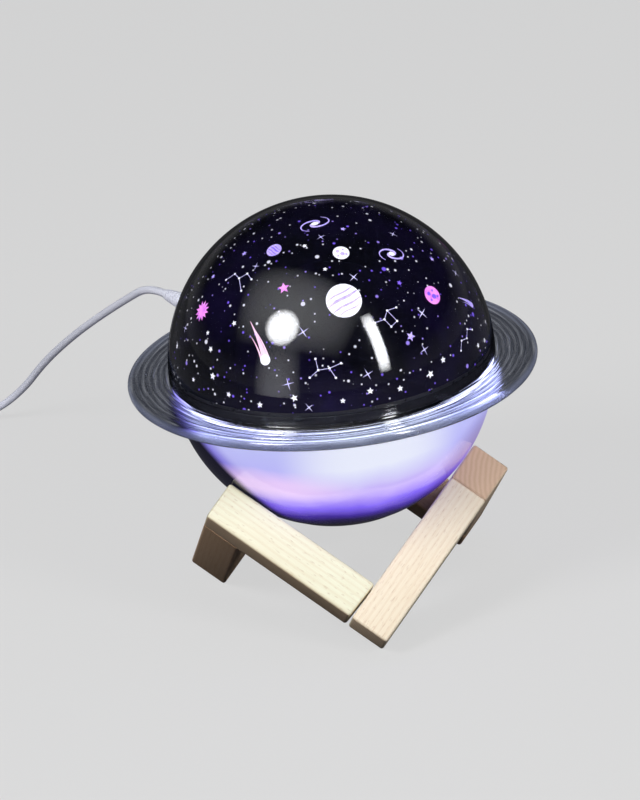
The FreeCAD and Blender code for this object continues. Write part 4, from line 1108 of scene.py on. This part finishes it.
# %% Flat shapes, drawn in millimetres
def flat_disc(radius, x=0.0, y=0.0, corners=28, squash=1.0):
    """A disc about a point, which may be squashed to an oval."""
    clear_bench()
    bpy.ops.mesh.primitive_circle_add(vertices=corners, radius=radius * MM, fill_type="NGON")
    piece = bpy.context.object
    settle(piece, Matrix.Translation((x * MM, y * MM, 0)) @ Matrix.Diagonal((1, squash, 1, 1)))
    return piece


def flat_star(points, radius, waist, turn=0.0):
    """A star: every second corner of a ring of corners is pulled in."""
    clear_bench()
    bpy.ops.mesh.primitive_circle_add(vertices=points * 2, radius=radius * MM, fill_type="TRIFAN")
    piece = bpy.context.object
    mesh = shape(piece)
    rim = [v for v in mesh.verts if v.co.length > radius * MM * 0.5]
    rim.sort(key=lambda v: math.atan2(v.co.y, v.co.x))
    for v in rim[::2]:
        v.co *= waist
    bmesh.update_edit_mesh(piece.data)
    bpy.ops.object.mode_set(mode="OBJECT")
    settle(piece, Matrix.Rotation(turn, 4, "Z"))
    return piece


def flat_strip(points, widths):
    """A strip along a line of points, with its own width at each point."""
    clear_bench()
    bpy.ops.mesh.primitive_plane_add(size=MM)
    piece = bpy.context.object
    mesh = shape(piece)
    corners = []
    for i, (x, y) in enumerate(points):
        before, after = points[max(i - 1, 0)], points[min(i + 1, len(points) - 1)]
        ahead = Vector((after[0] - before[0], after[1] - before[1])).normalized()
        aside = Vector((ahead.y, -ahead.x)) * (widths[i] / 2)
        corners.append(((x - aside.x, y - aside.y), (x + aside.x, y + aside.y)))
    sides = sorted(mesh.verts, key=lambda v: (v.co.x, v.co.y))
    for v, (x, y) in zip((sides[1], sides[0], sides[3], sides[2]), (*corners[0], *corners[1])):
        v.co = (x * MM, y * MM, 0)
    last = (sides[3], sides[2])
    for pair in corners[2:]:
        fresh = [mesh.verts.new((x * MM, y * MM, 0)) for x, y in pair]
        mesh.faces.new((last[0], last[1], fresh[1], fresh[0]))
        last = fresh
    bmesh.update_edit_mesh(piece.data)
    bpy.ops.mesh.select_all(action="SELECT")
    bpy.ops.mesh.normals_make_consistent(inside=False)
    bpy.ops.object.mode_set(mode="OBJECT")
    return piece


on_top = 0.05


def coloured(piece, name, lift=0.0):
    """Inks a flat shape. A lifted one is printed over what is below it."""
    dress(piece, inks[name])
    settle(piece, Matrix.Translation((0, 0, lift * MM)))
    return piece


def joined(name, parts):
    """One figure out of several flat shapes."""
    clear_bench()
    for part in parts:
        part.select_set(True)
    bpy.context.view_layer.objects.active = parts[0]
    bpy.ops.object.join()
    return name_piece(name)


print("drawing tools ready")


# %% [markdown]
# Each figure is drawn about its own middle, facing up. The comet is a round head with three
# tapering streaks; the striped planet is a disc with bands across it; the moon carries small
# pits; the sun is a disc on a star of twelve rays; the spiral has two curling arms.

# %% The figures
def striped_planet(size, body_ink, band_ink):
    """A disc with four bands that bulge a little."""
    parts = [coloured(flat_disc(size), body_ink)]
    for level, width in ((0.45, 0.10), (0.12, 0.17), (-0.30, 0.12), (-0.62, 0.08)):
        reach = math.sqrt(1 - level * level) * 0.97
        line = [(-reach * size, level * size), (-reach * size * 0.4, (level + 0.05) * size),
                (reach * size * 0.4, (level - 0.04) * size), (reach * size, level * size)]
        widths = [width * size * part for part in (0.4, 1.0, 1.0, 0.4)]
        parts.append(coloured(flat_strip(line, widths), band_ink, on_top))
    return joined("striped_planet", parts)


def comet(size, head_ink, tail_ink):
    """A round head with a long streak between two short ones."""
    parts = [coloured(flat_disc(size * 0.42), head_ink, on_top)]
    for side, length, width in ((0.0, 3.3, 0.46), (0.30, 2.2, 0.18), (-0.30, 2.5, 0.18)):
        line = [(0.10 * size + length * size * i / 7, side * size * (1 - 0.02 * i) + 0.010 * size * i * i)
                for i in range(8)]
        widths = [width * size * (1 - i / 7.4) for i in range(8)]
        parts.append(coloured(flat_strip(line, widths), tail_ink))
    return joined("comet", parts)


def pitted_moon(size, body_ink, pit_ink):
    """A disc with five round pits."""
    pits = ((-0.35, 0.30, 0.22), (0.32, 0.42, 0.13), (0.10, -0.20, 0.28), (-0.48, -0.38, 0.14),
            (0.55, -0.35, 0.15))
    parts = [coloured(flat_disc(size), body_ink)]
    for x, y, radius in pits:
        parts.append(coloured(flat_disc(radius * size, x * size, y * size, 18), pit_ink, on_top))
    return joined("pitted_moon", parts)


def rayed_sun(size, body_ink, ray_ink):
    """A disc on a star of twelve rays."""
    parts = [coloured(flat_star(12, size, 0.60), ray_ink), coloured(flat_disc(size * 0.52), body_ink, on_top)]
    return joined("rayed_sun", parts)


def spiral(size, arm_ink):
    """Two curling arms round an oval heart."""
    parts = [coloured(flat_disc(size * 0.20, 0, 0, 20, 0.8), "white", on_top)]
    for start in (0.0, math.pi):
        line = []
        for i in range(15):
            angle = start + i * 0.30
            reach = size * (0.12 + 0.88 * (i / 14) ** 0.85)
            line.append((reach * math.cos(angle), 0.62 * reach * math.sin(angle)))
        widths = [size * (0.20 - 0.012 * i) for i in range(15)]
        parts.append(coloured(flat_strip(line, widths), arm_ink))
    return joined("spiral", parts)


def star_group(points, links):
    """Dots joined by thin lines."""
    line_width, dot_radius = 0.24, 0.55
    parts = []
    for a, b in links:
        (ax, ay), (bx, by) = points[a], points[b]
        line = [(ax + (bx - ax) * t / 3, ay + (by - ay) * t / 3) for t in range(4)]
        parts.append(coloured(flat_strip(line, [line_width] * 4), "line"))
    for x, y in points:
        parts.append(coloured(flat_disc(dot_radius, x, y, 12), "white", on_top))
    return joined("star_group", parts)


def small_star(size, colour):
    """A five-pointed star."""
    return coloured(flat_star(5, size, 0.45, turn=math.radians(18)), colour)


def glint(size):
    """A thin four-pointed star."""
    return coloured(flat_star(4, size, 0.11), "line")


print("eight kinds of figure")


# %% [markdown]
# A figure goes to a direction on the dome, given as a turn round the axis and a height above
# the rim. The layout fills one half of the dome, and a copy of it, turned half round, fills the
# other, as a print in two panels does.

# %% Laying the figures on the film
film_middle = Vector((0, 0, globe_centre.z + dome_rise))
print_lift = 0.10 * MM
laid_figures = []


def lay(figure, turn, height, roll):
    """Gives a flat figure its direction on the film, and a copy of it the opposite one."""
    take(figure)
    bpy.ops.object.duplicate()
    for copy, at in ((figure, turn), (bpy.context.object, turn + 180)):
        copy["at"] = (at, height, roll)
        laid_figures.append(copy)


def bend_over_film(figure):
    """Cuts a flat figure finer and bends it over the film at its own direction. A point's own
    lift stays, so what is printed over the rest stays on top."""
    at, height, roll = figure["at"]
    shape(figure)
    bpy.ops.mesh.select_all(action="SELECT")
    bpy.ops.mesh.quads_convert_to_tris(quad_method="BEAUTY", ngon_method="BEAUTY")
    bpy.ops.mesh.select_all(action="SELECT")
    bpy.ops.mesh.subdivide(number_cuts=2)
    bpy.ops.object.mode_set(mode="OBJECT")
    settle(figure, Matrix.Rotation(math.radians(roll), 4, "Z"))
    for v in figure.data.vertices:
        reach = film_reach + print_lift + v.co.z
        v.co = Vector((v.co.x, v.co.y, film_reach)).normalized() * reach
    out_way = direction(at, height)
    east = Vector((-math.sin(math.radians(at)), math.cos(math.radians(at)), 0))
    settle(figure, bar_place(film_middle, east, out_way.cross(east), out_way))


lay(striped_planet(8.4, "white", "lavender"), -90, 42, 24)
lay(comet(6.0, "white", "blush"), -124, 22, 112)
lay(pitted_moon(4.6, "magenta", "violet"), -47, 34, 0)
lay(rayed_sun(5.2, "magenta", "magenta"), -163, 33, 10)
lay(spiral(8.6, "lavender"), -104, 78, 20)
lay(spiral(7.6, "lavender"), -52, 54, -35)
lay(striped_planet(3.7, "lavender", "violet"), -137, 63, -20)
lay(pitted_moon(3.9, "white", "lavender"), -84, 61, 0)
lay(comet(3.4, "lavender", "lavender"), -26, 22, 128)
lay(small_star(2.9, "magenta"), -120, 48, 0)
lay(small_star(2.4, "lavender"), -66, 24, 20)
lay(star_group([(-8, 1), (-4, 4.5), (0, 2.5), (3.5, 5.5), (7.5, 3), (4.5, -3.5)],
               [(0, 1), (1, 2), (2, 3), (3, 4), (2, 5)]), -149, 47, 8)
lay(star_group([(-7, -4), (-3.5, 0), (-5.5, 5), (1.5, 1.5), (6.5, 4.5), (5, -2.5)],
               [(0, 1), (1, 2), (1, 3), (3, 4), (3, 5)]), -101, 18, -12)
lay(star_group([(-6, 3.5), (-2, 0.5), (2.5, 1.5), (6.5, -1.5), (1, -5), (-3, -4)],
               [(0, 1), (1, 2), (2, 3), (1, 5), (5, 4), (4, 2)]), -73, 33, 40)
lay(star_group([(-7, 0), (-3, 2.5), (1, 0), (5, 2), (8, -1.5)],
               [(0, 1), (1, 2), (2, 3), (3, 4)]), -40, 14, 25)
print(len(laid_figures), "large figures drawn")

# %% [markdown]
# Small stars and glints fill the gaps. Their rolls follow from their turns, which keeps them
# from standing in rows.

# %% The small stars and glints
for turn, height, size, colour in (
        (-175, 16, 1.6, "white"), (-158, 9, 1.3, "white"), (-147, 13, 1.9, "white"),
        (-139, 8, 1.5, "white"), (-126, 6, 1.6, "white"), (-113, 9, 1.9, "white"),
        (-96, 7, 1.4, "white"), (-86, 9, 1.7, "white"), (-75, 7.5, 1.6, "white"),
        (-62, 9, 2.0, "white"), (-55, 12, 1.7, "white"), (-33, 9, 1.5, "white"),
        (-170, 45, 1.4, "lavender"), (-160, 58, 1.5, "lavender"), (-112, 66, 1.3, "white"),
        (-97, 55, 1.2, "white"), (-70, 72, 1.4, "lavender"), (-30, 44, 1.5, "lavender"),
        (-18, 12, 1.4, "white"), (-60, 43, 1.4, "violet"), (-141, 33, 1.5, "white"),
        (-150, 22, 1.6, "white"), (-154, 27, 1.2, "white")):
    lay(small_star(size, colour), turn, height, (turn * 7) % 72)
for turn, height, size in (
        (-109, 32, 3.3), (-97, 70, 2.4), (-62, 18, 3.0), (-115, 14, 3.2), (-82, 50, 2.8), (-57, 30, 3.4),
        (-108, 5.5, 2.6), (-171, 24, 2.4), (-143, 55, 2.2), (-35, 60, 2.4), (-22, 34, 2.6), (-86, 15, 3.0)):
    lay(glint(size), turn, height, (turn * 3) % 40)
for figure in laid_figures:
    bend_over_film(figure)
print(len(laid_figures), "figures laid")

# %% [markdown]
# All the figures become one printed layer, which turns with the film. It could stay in pieces,
# but one mesh is easier to carry and to hide.

# %% One printed layer
print_layer = joined("printed_figures", laid_figures)
round_off(print_layer, 60)
report(print_layer)
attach(print_layer, "turntable")

# %% [markdown]
# ## The collar
#
# Under the domes a dark collar holds the ring down. It shows through the clear rim of the cover,
# so it is turned afresh with rounded edges, while the turning tray inside it stays as measured.
# A turned section is the simplest way to a round piece with small steps.

# %% Collar
collar_section = [(66.3, -3.0), (72.0, -3.0), (72.3, -2.7), (72.3, 2.0), (76.5, 2.0), (76.7, 2.2),
                  (76.7, 5.1), (76.4, 5.4), (75.0, 5.4), (74.8, 5.2), (74.2, 5.2), (74.0, 5.4),
                  (66.3, 5.4), (66.0, 5.1), (66.0, -2.7)]
collar = turned("collar_ring", in_metres(collar_section, globe_centre.z), steps=192)
round_off(collar, 28)
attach(collar, "lamp")
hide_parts("retaining_collar")
report(collar)

# %% [markdown]
# ## The plug and its strain relief
#
# A slim white plug stands in the slot of the ring. Behind it a tapered sleeve with soft ribs
# takes the bending. They could be built up from cylinders and cones, but one drawn line holds
# all the ribs. Both are turned on their own axis and then laid along the slot.

# %% Plug and sleeve
plug_height = globe_centre.z - 2.2 * MM
plug_way = Vector((math.cos(plug_turn), math.sin(plug_turn), 0))
plug_side = Vector((-math.sin(plug_turn), math.cos(plug_turn), 0))
plug_axis = bar_place(Vector((0, 0, plug_height)), plug_side, Vector((0, 0, 1)), plug_way)
first_rib, rib_step = 88.0, 3.2
grip_line = [(0.0, 79.5), (4.1, 79.5), (4.55, 79.8), (4.75, 80.4)]
for i in range(5):
    start = first_rib + i * rib_step
    grip_line += [(4.75, start), (4.35, start + 0.5), (4.35, start + 1.3), (4.75, start + 1.8)]
sleeve_start, sleeve_end = 119.5, 143.5
grip_line += [(4.75, 110.0), (4.72, 117.5), (4.5, 119.2), (4.3, sleeve_start), (0.0, sleeve_start)]
plug_grip = turned("slim_plug_grip", in_metres(grip_line), steps=64, closed=False)


def sleeve_radius(at):
    """The sleeve tapers faster and faster towards the lead."""
    return 4.4 - 1.75 * ((at - sleeve_start) / (sleeve_end - sleeve_start)) ** 2


fold_step, fold_long = 2.75, 2.0
relief_line = [(0.0, sleeve_start), (4.3, sleeve_start)]
for i in range(8):
    start = sleeve_start + 0.7 + i * fold_step
    stop = start + fold_long
    narrow = sleeve_radius(stop)
    relief_line += [(sleeve_radius(start), start), (narrow, stop), (narrow - 0.42, stop + 0.18),
                    (narrow - 0.42, stop + 0.55)]
relief_line += [(2.65, 142.6), (2.5, sleeve_end), (0.0, sleeve_end)]
sleeve = turned("ribbed_sleeve", in_metres(relief_line), steps=64, closed=False)
for piece in (plug_grip, sleeve):
    settle(piece, plug_axis)
    round_off(piece, 40)
for piece, node in ((plug_grip, "plug_grip"), (sleeve, "strain_relief")):
    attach(piece, "lamp")
    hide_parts(node)
    report(piece)

# %% [markdown]
# ## The USB plug
#
# The far end of the lead is an ordinary USB plug, which lies beside the coil: a soft grip with
# a sunk panel on top, a ribbed tail that takes the bending, and a metal shell with two square
# windows. The grip starts as a block, whose long edges are rounded more than its ends.


# %% USB plug
def runs_along(edge):
    """True for the long edges of a block that lies along the plug."""
    return abs(edge.verts[0].co.y - edge.verts[1].co.y) > 10 * MM


clear_bench()
low, high = [Vector(corner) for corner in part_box("usb_grip")]
grip_centre = (low + high) / 2
tail_start = high.y - 12 * MM
bpy.ops.mesh.primitive_cube_add(size=1, location=(grip_centre.x, (tail_start + low.y) / 2, grip_centre.z),
                                scale=(15.5 * MM, 24 * MM, 8 * MM))
usb_grip = name_piece("usb_plug_grip")
settle(usb_grip)
mesh = shape(usb_grip)
choose(mesh, "edges", runs_along)
bpy.ops.mesh.bevel(offset=3.0 * MM, segments=6, profile=0.5, affect="EDGES")
mesh = bmesh.from_edit_mesh(usb_grip.data)
choose(mesh, "faces", lambda face: abs(face.normal.y) > 0.9)
bpy.ops.mesh.bevel(offset=0.9 * MM, segments=3, profile=0.5, affect="EDGES")
mesh = bmesh.from_edit_mesh(usb_grip.data)
choose(mesh, "faces", lambda face: face.normal.z > 0.95)
bpy.ops.mesh.inset(thickness=1.6 * MM, depth=-0.5 * MM)
bpy.ops.object.mode_set(mode="OBJECT")
round_off(usb_grip, 40)
tail = bar_place(Vector((grip_centre.x, tail_start, grip_centre.z)), Vector((1, 0, 0)),
                 Vector((0, 0, -1)), Vector((0, 1, 0)))
tail_line = [(0.0, 0.0), (3.1, 0.0)]
for i in range(4):
    start, groove = 2.7 * i, 2.65 - 0.15 * i
    tail_line += [(3.1 - 0.22 * i, 0.6 + start), (3.0 - 0.22 * i, 2.2 + start), (groove, 2.4 + start),
                  (groove, 3.0 + start)]
tail_line += [(2.3, 12.0), (0.0, 12.0)]
usb_tail = turned("usb_plug_tail", in_metres(tail_line), steps=48, closed=False)
settle(usb_tail, tail)
round_off(usb_tail, 40)
usb_grip = joined("usb_plug_grip", [usb_grip, usb_tail])
print("grip box", [[round(v * 1000, 1) for v in c] for c in (low, high)])

# %% [markdown]
# The shell is a box, opened at its end with an inset that is pushed in. Two small blocks cut the
# windows into its top.

# %% USB shell
low, high = [Vector(corner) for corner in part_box("usb_shell")]
middle = (low + high) / 2
clear_bench()
bpy.ops.mesh.primitive_cube_add(size=1, location=middle, scale=tuple(high - low))
usb_shell = name_piece("usb_metal_shell")
settle(usb_shell)
mesh = shape(usb_shell)
choose(mesh, "edges", runs_along)
bpy.ops.mesh.bevel(offset=0.7 * MM, segments=4, profile=0.5, affect="EDGES")
mesh = bmesh.from_edit_mesh(usb_shell.data)
choose(mesh, "faces", lambda face: face.normal.y < -0.9)
bpy.ops.mesh.inset(thickness=0.35 * MM, depth=0)
bpy.ops.mesh.extrude_region_move(TRANSFORM_OT_translate={"value": (0, 8 * MM, 0)})
bpy.ops.object.mode_set(mode="OBJECT")
for side in (-1, 1):
    clear_bench()
    window_at = (middle.x + side * 2.6 * MM, low.y + 10.5 * MM, high.z)
    bpy.ops.mesh.primitive_cube_add(size=1, location=window_at, scale=(2.3 * MM, 2.3 * MM, 0.5 * MM))
    window = name_piece("window_cutter")
    settle(window)
    cut_out(usb_shell, window)
round_off(usb_shell, 30)
for piece, node, slot in ((usb_grip, "usb_grip", "white_plastic"), (usb_shell, "usb_shell", "plug_metal")):
    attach(piece, "left_stand")
    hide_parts(node)
    report(piece)

# %% [markdown]
# A faint painted glow on the soft white plastic of the lead and its plugs lifts their shaded
# side, so that it does not go black; it stands for the little light that such plastic lets
# through.

# %% The lead's finishes
# a faint painted glow that lifts the shaded side of the white plastic
painted_glow_lift = {"Emission_Color": (0.80, 0.82, 1.0, 1), "Emission_Strength": 0.09, "Coat_Weight": 0.15}
# each line: colour, roughness, drift of colour, scale and depth of the texture
soft_white = moulded("soft_white_jacket", (0.82, 0.83, 0.92), 0.38, 0.05, 900, 0.02 * MM, **painted_glow_lift)
white_moulding = moulded("white_moulding", (0.86, 0.87, 0.97), 0.32, 0.04, 1100, 0.02 * MM, **painted_glow_lift)
plated = moulded("plated_shell", (0.72, 0.73, 0.75), 0.24, 0.08, 1800, 0.02 * MM, Metallic=1.0)
dress(lead, soft_white)
dress(plug_grip, white_moulding)
dress(sleeve, white_moulding)
dress(usb_grip, white_moulding)
dress(usb_shell, plated)
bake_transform(lead)
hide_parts("power_cord", "cord_coil")

# %% [markdown]
# ## Finishes for the working parts
#
# Everything else is a mechanical part from the measured model. Each gets the finish of its real
# material: black moulded plastic, green circuit board, zinc-plated screws, nylon gears, a rubber
# pad, wires, a lens and magnets. They could share a few plain colours, but with real materials
# an opened lamp is worth a look.

# %% Working finishes
# each line: colour, roughness, drift of colour, scale and depth of the texture
black_moulding = moulded("black_moulding", (0.012, 0.012, 0.016), 0.30, 0.25, 1300, 0.04 * MM)
collar_black = moulded("collar_black", (0.010, 0.010, 0.014), 0.16, 0.2, 1500, 0.008 * MM)
white_part = moulded("white_part", (0.80, 0.80, 0.82), 0.42, 0.04)
gear_nylon = moulded("gear_nylon", (0.82, 0.80, 0.72), 0.46, 0.05, 1500, 0.03 * MM)
switch_black = moulded("switch_black", (0.020, 0.020, 0.022), 0.42, 0.2)
pad_rubber = moulded("pad_rubber", (0.028, 0.028, 0.030), 0.86, 0.2, 700, 0.12 * MM)
led_resin = moulded("led_resin", (0.93, 0.90, 0.70), 0.22, 0.05, 1800, 0.02 * MM, Coat_Weight=0.4)
magnet_plating = moulded("magnet_plating", (0.66, 0.66, 0.68), 0.22, 0.06, 1600, 0.02 * MM, Metallic=1.0)
wire_jacket = moulded("wire_jacket", (0.55, 0.03, 0.03), 0.42, 0.1, 1200, 0.03 * MM)
lens_acrylic = moulded("lens_acrylic", (0.94, 0.96, 0.98), 0.06, 0.02, 900, 0.01 * MM, IOR=1.49,
                       Transmission_Weight=0.9)
dowel_wood = moulded("dowel_wood", (0.64, 0.46, 0.30), 0.62, 0.15, 600, 0.10 * MM)


def brushed(name, colour, roughness, axis_stretch):
    """Drawn or turned metal, with fine lines one way."""
    finish, tree, shader = new_finish(name, colour, roughness, Metallic=1.0)
    place = own_place(tree, stretch=axis_stretch)
    lines = clouds(tree, place, 1.0, 4, 0.6)
    stain = clouds(tree, own_place(tree), 160, 4)
    stained = span(tree, stain, 0.45, 0.75, 0.0, 0.35)
    darker = tuple(c * 0.7 for c in colour)
    tree.links.new(blend_of(tree, stained, colour, darker), shader.inputs["Base Color"])
    gloss_by(tree, shader, lines, roughness * 0.8, roughness * 1.35)
    raise_by(tree, shader, lines, 0.02 * MM, 0.5)
    return finish


zinc_steel = brushed("zinc_steel", (0.62, 0.63, 0.62), 0.30, (2600, 2600, 200))
motor_can = brushed("motor_can", (0.58, 0.58, 0.60), 0.28, (300, 300, 3000))
plug_metal = brushed("plug_metal", (0.70, 0.70, 0.68), 0.22, (2600, 400, 2600))
print("working finishes mixed")

# %% [markdown]
# A circuit board shows a woven glass base under green lacquer and pale copper tracks. Bricks
# of lines in two directions stand for the tracks.

# %% Circuit board
board_green, tree, shader = new_finish("board_green", (0.010, 0.16, 0.055), 0.28, Coat_Weight=0.5,
                                       Coat_Roughness=0.12)
place = own_place(tree)
tracks = node_in(tree, "TexBrick", Vector=place, Scale=220.0, Mortar_Size=0.018, Mortar_Smooth=0.2)
for socket, grey in (("Color1", 0), ("Color2", 0), ("Mortar", 1)):
    tracks.inputs[socket].default_value = (grey, grey, grey, 1)
weave = bands(tree, place, 420, axis="DIAGONAL", distortion=0.4)
lacquer = steps_of(tree, weave, [(0.2, (0.008, 0.13, 0.045)), (0.8, (0.012, 0.18, 0.062))])
tracked = blend_of(tree, tracks.outputs["Color"], lacquer, (0.09, 0.36, 0.12))
tree.links.new(tracked, shader.inputs["Base Color"])
gloss_by(tree, shader, clouds(tree, place, 500, 3), 0.22, 0.36)
raise_by(tree, shader, tracks.outputs["Fac"], 0.04 * MM, 0.6)
print("board lacquered")

# %% [markdown]
# Each finish is given to its pieces by name. The last line prints what no finish has reached,
# which should be nothing.

# %% Dressing the working parts
working = {
    bowl_glow: ["base_cap"],
    black_moulding: ["chassis_deck", "led_post", "power_inlet", "turntable_tray"],
    white_part: ["light_button", "colour_button", "spin_button"],
    gear_nylon: ["turntable_gear", "drive_pinion", "bearing_washer"],
    switch_black: ["tact_switches", "control_chip"],
    pad_rubber: ["foot_pad"],
    led_resin: ["glow_leds", "star_led"],
    magnet_plating: ["left_magnets", "back_magnets", "right_magnets"],
    dowel_wood: ["left_dowel", "back_dowel", "right_dowel"],
    wire_jacket: ["star_lead", "motor_lead", "inlet_lead"],
    lens_acrylic: ["star_lens"],
    zinc_steel: ["base_screws", "deck_screws", "post_screws", "collar_screws", "motor_screws", "motor_shaft",
                 "hub_clip"],
    plug_metal: ["plug_barrel"],
    motor_can: ["turntable_motor"],
    board_green: ["control_board", "glow_board", "star_board"],
}
for finish, nodes in working.items():
    for node in nodes:
        dress(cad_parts[node], finish)
dress(collar, collar_black)
dressed = {node for nodes in working.values() for node in nodes}
replaced = {"left_rail", "left_leg", "back_rail", "back_leg", "right_rail", "right_leg", "bowl_shell",
            "planet_ring", "film_dome", "clear_dome", "retaining_collar", "plug_grip", "strain_relief",
            "usb_grip", "usb_shell", "power_cord", "cord_coil"}
print("undressed:", sorted(set(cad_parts) - dressed - replaced))

# %% [markdown]
# ## Colour settings
#
# The picture uses the plain standard view, so colours come out as they are written.

# %% Finish
bpy.context.scene.view_settings.view_transform = "Standard"
clear_bench()
